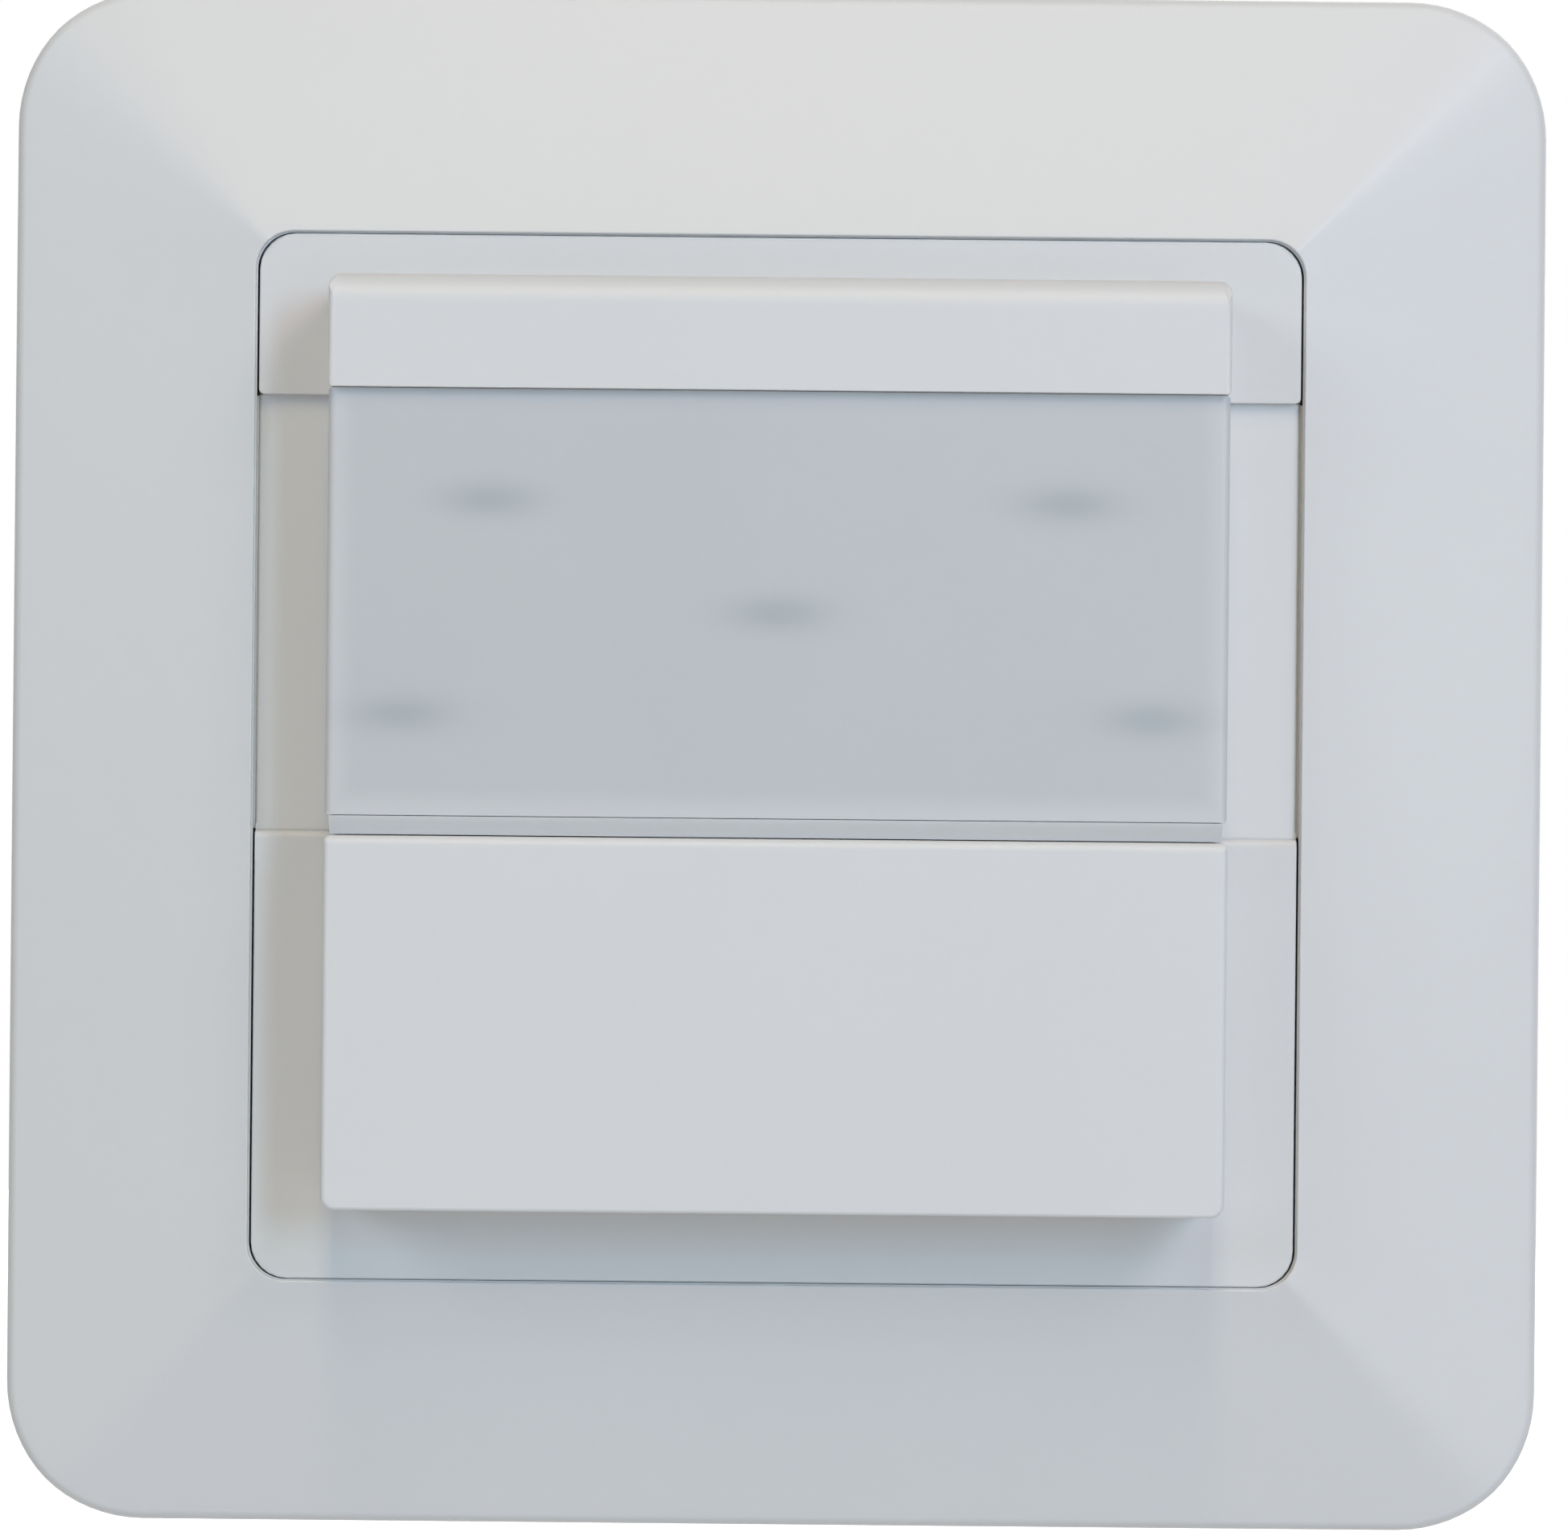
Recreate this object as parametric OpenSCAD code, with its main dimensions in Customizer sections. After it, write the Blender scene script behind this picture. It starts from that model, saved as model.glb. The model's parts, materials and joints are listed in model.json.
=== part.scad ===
// Flush-mounted motion sensor light switch: a cover frame, a sensor head with a lens and a push key,
// and a relay insert on a steel support ring.
// Every piece is drawn lying face up, with the wall at height 0, and is then stood against the wall.

/* [Cover frame] */
// Width of the frame's border around the head
frame_border = 12.8; // [11:0.1:17]
// Radius of the frame's outer corners
frame_corner_r = 7.3; // [4:0.1:10]
// Height of the frame's outer edge above the wall
frame_rim_h = 6; // [4.5:0.1:8]
// Height of the frame's inner edge above the head's margin
frame_lead = 0.2; // [0:0.05:0.6]
// Wall thickness of the frame
frame_wall = 1.8; // [1.2:0.1:2.4]
// Thickness of the lip that the head traps
frame_lip_t = 1; // [0.8:0.1:1.4]
// Width of the lip that the head traps
frame_lip_w = 2.4; // [1.5:0.1:2.8]
// Thickness of the stiffening ribs inside the frame
frame_rib_t = 1.2; // [0.8:0.1:2]
// Distance of the ribs from the middle of each side
frame_rib_at = 18; // [8:1:24]

/* [Sensor head] */
// Width and height of the sensor head
head_w = 55; // [54:0.25:57]
// Radius of the head's corners
head_corner_r = 1.6; // [1:0.1:3]
// Gap around the head inside the frame
head_gap = 0.4; // [0.3:0.05:0.8]
// Margin on each side of the raised block
side_margin = 4.4; // [4:0.1:5]
// Height of the raised block above the margin
block_h = 7; // [6.6:0.1:10]
// Margin below the raised block
bottom_margin = 4.3; // [3:0.1:5]
// Length of the hood along the wall
hood_len = 8.6; // [8:0.1:10]
// Margin above the raised block
top_margin = 2.7; // [2.6:0.1:4.2]
// Radius along the upper front edge of the hood
hood_round_r = 1.6; // [0.6:0.1:1.8]
// Thickness of the hood's margin
hood_margin_t = 2; // [1.6:0.1:2.2]
// Shell thickness of the hood and the key
shell_t = 1.5; // [1.2:0.1:1.8]
// How far the margins beside the lens lie below the others
mid_drop = 0.5; // [0.3:0.05:1]
// How far the margins beside the lens stop short of the key's sides
mid_inset = 0.15; // [0:0.05:0.4]
// How far the margins beside the lens lie above the lens's feet
mid_over_foot = 0.15; // [0.1:0.05:0.3]
// Wall thickness of the head's carrier
head_wall = 1.6; // [1.2:0.1:2]
// Thickness of the carrier's deck
deck_t = 1.4; // [1.2:0.1:1.6]
// Thickness of the head's back plate
back_t = 1.2; // [1:0.1:1.6]
// Seam between neighbouring pieces of the head
seam = 0.2; // [0.1:0.05:0.3]

/* [Lens] */
// How far the lens lies behind the hood's front
lens_recess = 0.5; // [0.4:0.1:1.4]
// Thickness of the lens
lens_t = 1; // [0.8:0.1:1.4]
// Radius of the lens's long side edges
lens_edge_r = 1.6; // [1.5:0.1:2.5]
// Groove between the lens and the key
lens_groove = 0.85; // [0.6:0.05:1.5]
// Thickness of the lens's feet
lens_foot_t = 0.9; // [0.6:0.1:0.9]
// Radius of the ball that each lenslet is cut from
lenslet_ball_r = 8; // [6:0.5:12]
// Height of each lenslet
lenslet_h = 0.6; // [0.3:0.05:0.8]
// Sideways step between the upper and the lower lenslets
lenslet_step = 4.5; // [2:0.1:8]
// Height of the two upper lenslets above the middle one
lenslet_upper_y = 5.7; // [3:0.1:6]
// Distance of the lower lenslets from the lens's inner sides
lenslet_side = 3.4; // [3.2:0.1:8]
// Drop of the two lower lenslets below the middle one
lenslet_lower_y = 5.4; // [3:0.1:6]

/* [Push key] */
// Length of the key along the wall
key_len = 23.45; // [22.5:0.05:24.5]
// Thickness of the key's margin
key_margin_t = 1.6; // [1.2:0.1:1.8]
// Room below the key's margin for its travel
key_room = 1.8; // [1.6:0.1:2.4]
// Height of the key's pivot above the underside of its margin
pivot_rise = 1.8; // [1.5:0.1:2.2]
// Gap between the push switch and the spring's seat
switch_gap = 0.25; // [0.2:0.05:0.6]
// Radius of the key's trunnions
trunnion_r = 1; // [0.8:0.1:1.2]
// Running clearance of the trunnions
trunnion_clear = 0.05; // [0.02:0.01:0.1]
// Thickness of the ears that carry the trunnions
ear_t = 2; // [1.5:0.1:2.5]
// Wall of each ear around its bore
ear_wall = 0.85; // [0.7:0.05:1.2]
// Clearance between the key and the ears
ear_gap = 0.4; // [0.3:0.05:0.6]
// Clearance between the key and its stop
stop_gap = 0.1; // [0.05:0.05:0.2]
// Mean radius of the key spring
spring_r = 2.2; // [1.9:0.1:2.4]
// Wire radius of the key spring
spring_wire_r = 0.3; // [0.2:0.05:0.35]
// Turns of the key spring
spring_turns = 5; // [4:1:6]

/* [Sensor board] */
// Gap between the sensor board's opening and the key's ears
board_ear_gap = 0.4; // [0.3:0.1:2]
// Thickness of both boards
board_t = 1.6; // [1:0.1:1.6]
// Height of the posts that the sensor board stands on
board_stand = 0.8; // [0.5:0.1:0.9]
// Radius of the motion sensor's can
pir_r = 4.1; // [3.5:0.1:4.6]
// Height of the motion sensor
pir_h = 4.2; // [3.2:0.1:4.8]
// Width of the push switch's body
switch_w = 6; // [5:0.1:6.2]
// Height of the push switch's body
switch_h = 3.5; // [3:0.1:4]
// Radius of the push switch's plunger
plunger_r = 1.6; // [1.2:0.1:1.8]
// Length of the plunger that stands out of the switch
plunger_out = 1.3; // [0.9:0.1:1.6]
// Width of each trimmer's body
trimmer_w = 6.6; // [5.5:0.1:7]
// Height of each trimmer's body
trimmer_h = 4; // [3:0.1:4.5]
// Radius of each trimmer's rotor
rotor_r = 2.6; // [2:0.1:3]
// Radius of each rotor's stem
rotor_stem_r = 1.2; // [0.8:0.1:1.4]
// Gap between the trimmers and the board's screws
trimmer_screw_gap = 0.7; // [0.5:0.1:2]

/* [Plug connection] */
// Number of pins between the head and the insert
pin_count = 6; // [4:1:6]
// Distance between pins
pin_pitch = 2.54; // [2:0.01:2.54]
// Width of each square pin
pin_w = 0.64; // [0.5:0.02:0.7]

/* [Support ring] */
// Edge of the ring outside the box screw slots
ring_edge = 2.25; // [1.5:0.05:3.5]
// Radius of the ring's corners
ring_corner_r = 6; // [3:0.5:10]
// Thickness of the ring
ring_t = 1.2; // [1:0.1:1.4]
// Distance between opposite box screws
box_pitch = 60; // [59:0.25:61]
// Half the width of the box screw slots
box_slot_r = 1.75; // [1.6:0.05:2.2]
// Length of the box screw slots
box_slot_len = 6.5; // [5:0.1:6.8]
// Radius of the ring rivets
rivet_r = 1.2; // [1:0.1:1.4]
// Radius of the rivet heads
rivet_head_r = 1.9; // [1.6:0.1:2]

/* [Insert] */
// Gap between the sides of the insert's flange and the frame's lip
insert_side_gap = 1.2; // [1:0.1:1.5]
// Gap between the ends of the insert's flange and the frame's lip
insert_end_gap = 0.2; // [0.1:0.1:0.7]
// Diameter that the insert's corners are turned to
insert_d = 57; // [56:0.2:57.6]
// Depth of the insert behind the wall
insert_depth = 28; // [26:0.5:34]
// Wall thickness of the housing
insert_wall = 1.6; // [1.2:0.1:1.8]
// Thickness of the flange that rests on the ring
flange_t = 1.4; // [1.2:0.1:1.6]
// How far that flange reaches over the ring
flange_over = 1.3; // [0.9:0.1:1.4]
// Thickness of the insert's front cover
cover_t = 1.6; // [1.4:0.1:2]
// Clearance between the housing and the ring
insert_fit = 0.3; // [0.15:0.05:0.5]
// Width of the channels that hold the claws
channel_w = 12; // [11:0.2:13]
// Depth of those channels
channel_depth = 3.4; // [3.3:0.05:3.8]
// Room between the top of the flange and the power board
power_room = 5.6; // [5:0.1:7]

/* [Terminals] */
// Number of terminals
terminal_count = 3; // [2:1:3]
// Distance between terminals
terminal_pitch = 10; // [8.5:0.1:10.5]
// Width of each conductor entry
entry_w = 4.6; // [4.4:0.1:5.4]
// Height of each conductor entry
entry_h = 4.8; // [4.4:0.1:5.4]
// Height of the terminal block along the wall
terminal_len = 10; // [9.5:0.1:11]
// Depth of the terminal block
terminal_depth = 12; // [11.5:0.1:13]
// Radius of the terminal screws
terminal_screw_r = 1.25; // [1:0.05:1.5]
// Radius of the terminal screws' heads
terminal_head_r = 2.1; // [1.8:0.1:2.4]

/* [Claws] */
// Width of each claw
claw_w = 9; // [8.5:0.1:9.8]
// Sheet thickness of the claws
claw_t = 1.2; // [1:0.05:1.3]
// Depth that the claws reach behind the wall
claw_len = 24; // [20:0.5:26]
// Radius of the claw pins
claw_pin_r = 0.7; // [0.6:0.05:0.75]
// Running clearance of the claws on their pins
claw_clear = 0.05; // [0.02:0.01:0.08]
// Outside radius of each claw's eye
claw_eye_r = 1.4; // [1.3:0.05:1.45]
// Radius of the claw screws
claw_screw_r = 1.5; // [1.25:0.05:1.5]
// Radius of the claw screws' heads
claw_head_r = 2.4; // [2.2:0.1:2.4]
// Length of the claw screws below their heads
claw_screw_len = 13.7; // [12:0.1:14]

/* [Hidden] */
$fn = 64;
// How far a cut runs past the face that it opens
past = 1;
// Clearance of pieces that are pushed together by hand
slip = 0.3;
// Running clearance of plunger and rotors in their bodies
stem_clear = 0.05;

// Heights above the wall, from the ring outwards
flange_top = ring_t + flange_t;
cover_top = flange_top + cover_t;
back_top = cover_top + back_t;
deck_top = back_top + deck_t;
board_low = back_top + board_stand;
board_top = board_low + board_t;
key_low = deck_top + key_room;
margin_z = key_low + key_margin_t;
front_z = margin_z + block_h;
inner_z = front_z - shell_t;
mid_z = margin_z - mid_drop;
mid_under_z = deck_top + lens_foot_t + mid_over_foot;
hood_low_z = margin_z - hood_margin_t;
lens_z = front_z - lens_recess;
frame_inner_h = margin_z + frame_lead;

// Places along the wall, from the middle of the head
half = head_w / 2;
block_half = half - side_margin;
block_w = 2 * block_half;
key_high = key_len - half;
hood_low = half - hood_len;
block_low = bottom_margin - half;
block_high = half - top_margin;
mid_low = key_high + seam;
mid_high = hood_low - seam;
lens_low = mid_low + lens_groove;
lens_mid = (lens_low + mid_high) / 2;
lens_foot_x = half - mid_inset - head_wall - slip;
lens_foot_end = 2;
lenslet_lower_x = block_half - lens_t - lenslet_side;
lenslet_upper_x = lenslet_lower_x - lenslet_step;
lens_board_gap = 0.5;

// The key's pivot, its stop, its switch and its spring
ear_r = trunnion_r + trunnion_clear + ear_wall;
ear_out = block_half - shell_t - ear_gap;
pivot_y = key_high - shell_t - ear_gap - ear_r;
pivot_z = key_low + pivot_rise;
switch_touch = 0.05;
actuator_r = 1.2;
switch_floor = 1;
plunger_play = 0.5;
spring_coil_r = spring_r + spring_wire_r;
spring_pilot_clear = 0.4;
spring_pilot_r = spring_r - spring_wire_r - spring_pilot_clear;
spring_pilot_h = 1.6;
spring_seat_rim = 0.7;
spring_seat_r = spring_coil_r + spring_seat_rim;
spring_wall_gap = 1.3;
spring_y = block_low + shell_t + spring_coil_r + spring_wall_gap;
spring_seat_rise = 0.2;
spring_low = board_top + spring_seat_rise;
spring_gap = 0.05;
spring_len = inner_z - spring_low - 2 * spring_gap;
switch_y = spring_y + spring_seat_r + switch_gap + switch_w / 2;

// The sensor board and what stands on it
board_past_spring = 0.6;
board_end = spring_y - board_past_spring;
board_x = ear_out - ear_t - board_ear_gap - slip;
board_screw_r = 0.9;
board_screw_low = cover_top + back_t / 3;
board_head_r = 1.8;
board_head_h = 1.1;
board_post_r = 2.2;
board_hole_clear = 0.2;
board_screw_x = board_x - board_post_r;
trimmer_at = board_screw_x - board_head_r - trimmer_screw_gap - trimmer_w / 2;
trimmer_inset = 1.95;
trimmer_y = board_end + trimmer_inset + trimmer_w / 2;
rotor_play = 0.1;
rotor_h = 1.2;
rotor_floor = 1;
rotor_slot_w = 0.8;
rotor_slot_d = 0.7;
rotor_slot_reach = 0.7;
header_len = pin_count * pin_pitch;
header_w = 2.5;
header_wall_gap = 0.65;

// The frame's opening, slope and lip
frame_open = head_w + 2 * head_gap;
frame_w = frame_open + 2 * frame_border;
open_r = head_corner_r + head_gap;
lip_open = frame_open - 2 * frame_lip_w;
lip_low = cover_top - frame_lip_t;
lip_gap = 0.1;
frame_slope = atan((frame_inner_h - frame_rim_h) / ((frame_w - frame_open) / 2));

// The insert
insert_w = lip_open - 2 * (flange_over + insert_side_gap);
insert_h = lip_open - 2 * (flange_over + insert_end_gap);
channel_x = insert_w / 2 - channel_depth;
insert_inner_y = insert_h / 2 - insert_wall;
header_y = insert_inner_y - header_w / 2 - header_wall_gap;
board_high = header_y + board_post_r + slip;
board_screw_y = [header_y, board_end + board_post_r];
power_top = flange_top - power_room;
power_low = power_top - board_t;
power_w = 2 * (channel_x - insert_wall - slip);
boss_r = 2.4;
boss_end = 4.5;
boss_y = insert_h / 2 - boss_end;
boss_edge = 2.96;
boss_x = sqrt(pow(insert_d / 2 - boss_edge, 2) - pow(boss_y, 2));
boss_step = 1.2;
cover_screw_r = 1;
cover_head_r = 2;
cover_head_h = 1.1;
cover_screw_len = 6;
cover_screw_play = 0.5;
cover_hole_clear = 0.1;
cover_inset = 0.5;
rivet_edge = 0.2;
rivet_x = insert_w / 2 + flange_over - rivet_head_r - rivet_edge;
rivet_y = insert_h / 2 + flange_over - rivet_head_r - rivet_edge;
rivet_head_h = lip_low - flange_top - lip_gap;
latch_x = 12;
latch_w = 6;
latch_t = 1.2;
latch_barb = 0.7;
latch_play = 0.1;
latch_barb_h = 1;
latch_low = flange_top - latch_barb_h;
clip_inset = 2.4;
clip_barb_h = 0.5;
clip_x = half - head_wall - slip;

// The terminals
terminal_inset = 2;
terminal_low = terminal_inset - insert_h / 2;
terminal_high = terminal_low + terminal_len;
recess_y = terminal_high + slip;
recess_z = terminal_depth - insert_depth;
entry_z = recess_z - terminal_depth / 2;
clamp_t = 0.8;
clamp_len = 4;
clamp_fit = 0.1;
terminal_end_wall = 1.6;
clamp_low = terminal_high - terminal_end_wall - clamp_len;
terminal_screw_y = clamp_low + clamp_len / 2;
terminal_head_h = 1.4;
lead_w = 1;
lead_back = 2.8;
lead_y = terminal_high - lead_back;
terminal_end = 6;
terminal_w = (terminal_count - 1) * terminal_pitch + 2 * terminal_end;
terminal_head_sink = 0.6;
terminal_hole_clear = 0.1;
terminal_head_clear = 0.2;
terminal_screw_in = 0.8;
terminal_slot_d = 0.7;
lead_out = 0.5;

// The claws
claw_x = channel_x + claw_eye_r + slip;
claw_drop = 1;
claw_z = -claw_eye_r - claw_drop;
claw_screw_gap = 0.2;
claw_screw_x = claw_x + claw_eye_r + claw_screw_r + claw_screw_gap;
claw_tab_drop = 2.6;
claw_tab_z = claw_z - claw_tab_drop;
claw_slot_past = 2;
claw_slot_z = ring_t - claw_screw_len - claw_slot_past;
claw_slot_lip = 0.4;
claw_hole_clear = 0.1;
claw_head_h = 1.8;
claw_driver_d = 0.9;
claw_foot = 1;
claw_tooth = 1.5;
// Share of the housing's wall that each end of a claw pin reaches into
claw_pin_bite = 0.8;
claw_pin_len = channel_w + 2 * claw_pin_bite * insert_wall;

// The support ring
ring_w = box_pitch + box_slot_len + 2 * ring_edge;

// Stands a piece against the wall: its height points away from the wall, and its top points up
module upright() {
    rotate([90, 0, 0])
    children();
}

// Block between two corners
module box(low, high) {
    translate(low)
    cube(high - low);
}

// Outline raised from one height to another
module raised(z0, z1) {
    translate([0, 0, z0])
    linear_extrude(z1 - z0)
    children();
}

// Rounded rectangle around the middle
module rounded(w, h, r) {
    square([w - 2 * r, h], center = true);
    square([w, h - 2 * r], center = true);
    for (x = [-1, 1], y = [-1, 1])
        translate([x * (w / 2 - r), y * (h / 2 - r)])
        circle(r);
}

// Rounded square plate
module slab(w, r, z0, z1) {
    raised(z0, z1)
    rounded(w, w, r);
}

// Upright cylinder at a place
module post(place, r, z0, z1) {
    translate([place[0], place[1], z0])
    cylinder(r = r, h = z1 - z0);
}

// Cylinder along the width, between two sideways places
module bar_x(x0, x1, y, z, r) {
    translate([x0, y, z])
    rotate([0, 90, 0])
    cylinder(r = r, h = x1 - x0);
}

// Profile, given as up-the-wall and height, drawn out along the width
module along_x(w) {
    rotate([90, 0, 90])
    translate([0, 0, -w / 2])
    linear_extrude(w)
    children();
}

// Profile, given as width and height, drawn out up the wall
module along_y(y0, y1) {
    translate([0, y1, 0])
    rotate([90, 0, 0])
    linear_extrude(y1 - y0)
    children();
}

// Copies a piece to both sides
module both_sides() {
    for (side = [0, 1])
        mirror([side, 0, 0])
        children();
}

// Block with four sloping faces around a flat middle
module sloped_block(w, r, z0, rim_z, top_z) {
    profile = [
        [-w / 2, z0], [w / 2, z0], [w / 2, rim_z],
        [frame_open / 2, top_z], [-frame_open / 2, top_z], [-w / 2, rim_z]
    ];
    intersection() {
        along_x(w + 2 * past)
        polygon(profile);
        along_y(-w / 2 - past, w / 2 + past)
        polygon(profile);
        slab(w, r, z0, top_z);
    }
}

// Outline of the insert, grown or shrunk on every side
module insert_outline(grow) {
    reach = channel_depth + 2 * past;
    difference() {
        intersection() {
            square([insert_w + 2 * grow, insert_h + 2 * grow], center = true);
            circle(d = insert_d + 2 * grow);
        }
        both_sides()
        translate([channel_x + grow, grow - channel_w / 2])
        square([reach, channel_w - 2 * grow]);
    }
}

// Places of the four bosses in the corners of the insert
module at_bosses() {
    for (x = [-boss_x, boss_x], y = [-boss_y, boss_y])
        translate([x, y, 0])
        children();
}

// Places of the terminals
module at_terminals() {
    for (i = [0 : terminal_count - 1])
        translate([(i - (terminal_count - 1) / 2) * terminal_pitch, 0, 0])
        children();
}

// Places of the pins between the head and the insert
module at_pins() {
    for (i = [0 : pin_count - 1])
        translate([(i - (pin_count - 1) / 2) * pin_pitch, header_y, 0])
        children();
}

// Straight screwdriver slot across a screw's head
driver_w = 0.8;

module driver_slot(r, z0, z1) {
    box([-r - past, -driver_w / 2, z0], [r + past, driver_w / 2, z1]);
}

module cover_frame() {
    drop = frame_wall / cos(frame_slope);
    hollow_w = frame_w - 2 * frame_wall;
    hollow_rim = frame_rim_h - drop + frame_wall * tan(frame_slope);
    color("gainsboro")
    upright()
    difference() {
        sloped_block(frame_w, frame_corner_r, 0, frame_rim_h, frame_inner_h);
        difference() {
            sloped_block(hollow_w, frame_corner_r - frame_wall, -past, hollow_rim, frame_inner_h - drop);
            slab(frame_open + 2 * frame_wall, open_r + frame_wall, lip_low, frame_inner_h);
            for (turn = [0, 90], at = [-frame_rib_at, frame_rib_at])
                rotate(turn)
                box([-frame_w / 2, at - frame_rib_t / 2, lip_low],
                    [frame_w / 2, at + frame_rib_t / 2, frame_inner_h]);
        }
        slab(frame_open, open_r, cover_top, frame_inner_h + past);
        slab(lip_open, open_r, -past, cover_top + past);
    }
}

// Least radius along the same edge inside the hood
hood_inner_r = 0.4;

// Side view of the hood's raised part, set in from its outside by a wall
module hood_profile(wall) {
    low = hood_low + wall;
    high = block_high - wall;
    foot_z = margin_z - wall;
    top = front_z - wall;
    turn = max(hood_round_r - wall, hood_inner_r);
    translate([low, foot_z])
    square([high - low, top - turn - foot_z]);
    translate([low, foot_z])
    square([high - turn - low, top - foot_z]);
    translate([high - turn, top - turn])
    circle(turn);
}

module hood() {
    clip_low = deck_top + slip;
    color("gainsboro")
    upright()
    union() {
        difference() {
            union() {
                intersection() {
                    slab(head_w, head_corner_r, hood_low_z, margin_z);
                    box([-half, hood_low, hood_low_z], [half, half, margin_z]);
                }
                along_x(block_w)
                hood_profile(0);
            }
            along_x(block_w - 2 * shell_t)
            hood_profile(shell_t);
            box([shell_t - block_half, hood_low - past, hood_low_z - past],
                [block_half - shell_t, half - head_gap / 2 - shell_t, board_top + board_head_h + slip]);
        }
        both_sides()
        union() {
            box([clip_x - latch_t, hood_low + clip_inset, clip_low], [clip_x, half - clip_inset, hood_low_z]);
            box([clip_x, hood_low + clip_inset, clip_low],
                [clip_x + latch_barb, half - clip_inset, clip_low + clip_barb_h]);
        }
    }
}

// Cross-section of the lens, set in from its outside by its wall
module lens_profile(wall, z0) {
    r = lens_edge_r - wall;
    x = block_half - wall;
    z = lens_z - wall;
    translate([-x, z0])
    square([2 * x, z - r - z0]);
    translate([r - x, z0])
    square([2 * (x - r), z - z0]);
    for (side = [-1, 1])
        translate([side * (x - r), z - r])
        circle(r);
}

// Lenslet on the inner face of the lens
module lenslet(x, y) {
    face = lens_z - lens_t;
    intersection() {
        translate([x, y, face + lenslet_ball_r - lenslet_h])
        sphere(lenslet_ball_r);
        box([x - lenslet_ball_r, y - lenslet_ball_r, face - past],
            [x + lenslet_ball_r, y + lenslet_ball_r, face + lens_t / 4]);
    }
}

module fresnel_lens() {
    wall_low = board_top + lens_board_gap;
    color("whitesmoke")
    upright()
    union() {
        difference() {
            along_y(lens_low, mid_high)
            lens_profile(0, deck_top);
            along_y(lens_low + lens_t, mid_high - lens_t)
            lens_profile(lens_t, deck_top - past);
            box([lens_t - block_half, lens_low - past, deck_top - past],
                [block_half - lens_t, mid_high + past, wall_low]);
        }
        both_sides()
        box([block_half - lens_t, lens_low, deck_top],
            [lens_foot_x, mid_high - lens_foot_end, deck_top + lens_foot_t]);
        lenslet(0, lens_mid);
        both_sides()
        union() {
            lenslet(lenslet_upper_x, lens_mid + lenslet_upper_y);
            lenslet(lenslet_lower_x, lens_mid - lenslet_lower_y);
        }
    }
}

module push_key() {
    tip_z = board_top + switch_h + plunger_out + switch_touch + actuator_r;
    color("gainsboro")
    upright()
    union() {
        difference() {
            union() {
                intersection() {
                    slab(head_w, head_corner_r, key_low, margin_z);
                    box([-half, -half, key_low], [half, key_high, margin_z]);
                }
                box([-block_half, block_low, key_low], [block_half, key_high, front_z]);
            }
            box([shell_t - block_half, block_low + shell_t, key_low - past],
                [block_half - shell_t, key_high - shell_t, inner_z]);
        }
        post([0, switch_y], actuator_r, tip_z, inner_z);
        translate([0, switch_y, tip_z])
        sphere(actuator_r);
        post([0, spring_y], spring_pilot_r, inner_z - spring_pilot_h, inner_z);
        both_sides()
        bar_x(ear_out - ear_t - ear_gap, block_half - shell_t / 2, pivot_y, pivot_z, trunnion_r);
    }
}

// Ear that carries one of the key's trunnions, with the key's stop beside it
module key_ear() {
    inner = ear_out - ear_t;
    difference() {
        union() {
            box([inner, pivot_y - ear_r, back_top], [ear_out, pivot_y + ear_r, pivot_z]);
            bar_x(inner, ear_out, pivot_y, pivot_z, ear_r);
            box([inner, pivot_y, back_top], [ear_out, key_high, key_low - stop_gap]);
        }
        bar_x(inner - past, ear_out + past, pivot_y, pivot_z, trunnion_r + trunnion_clear);
    }
}

module head_frame() {
    side = half - mid_inset;
    color("gainsboro")
    upright()
    difference() {
        union() {
            difference() {
                slab(head_w, head_corner_r, back_top, deck_top);
                box([-board_x - slip, spring_y - spring_seat_r - slip, back_top - past],
                    [board_x + slip, board_high + slip, deck_top + past]);
            }
            difference() {
                intersection() {
                    slab(head_w, head_corner_r, back_top, hood_low_z);
                    box([-half, hood_low, back_top], [half, half, hood_low_z]);
                }
                box([head_wall - half, hood_low - past, back_top - past],
                    [half - head_wall, half - head_wall, hood_low_z + past]);
            }
            both_sides()
            union() {
                box([side - head_wall, mid_low, back_top], [side, mid_high, mid_z]);
                box([block_half + seam, mid_low, mid_under_z], [side, mid_high, mid_z]);
                key_ear();
            }
        }
        both_sides()
        box([clip_x, hood_low + clip_inset - seam, deck_top],
            [clip_x + slip + latch_barb, half - clip_inset + seam, deck_top + 2 * slip + clip_barb_h]);
    }
}

module head_back() {
    color("darkgray")
    upright()
    difference() {
        union() {
            slab(head_w, head_corner_r, cover_top, back_top);
            for (x = [-board_screw_x, board_screw_x], y = board_screw_y)
                post([x, y], board_post_r, back_top, board_low);
            post([0, spring_y], spring_seat_r, back_top, spring_low);
            post([0, spring_y], spring_pilot_r, spring_low, spring_low + spring_pilot_h);
            both_sides()
            union() {
                box([latch_x, -latch_w / 2, latch_low], [latch_x + latch_t, latch_w / 2, back_top]);
                box([latch_x, -latch_w / 2, latch_low],
                    [latch_x + latch_t + latch_barb, latch_w / 2, flange_top - latch_play]);
            }
        }
        for (x = [-board_screw_x, board_screw_x], y = board_screw_y)
            post([x, y], board_screw_r, board_screw_low, board_low + past);
        translate([0, header_y, 0])
        box([-header_len / 2 - slip, -header_w / 2 - slip, cover_top - past],
            [header_len / 2 + slip, header_w / 2 + slip, back_top + past]);
    }
}

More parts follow.
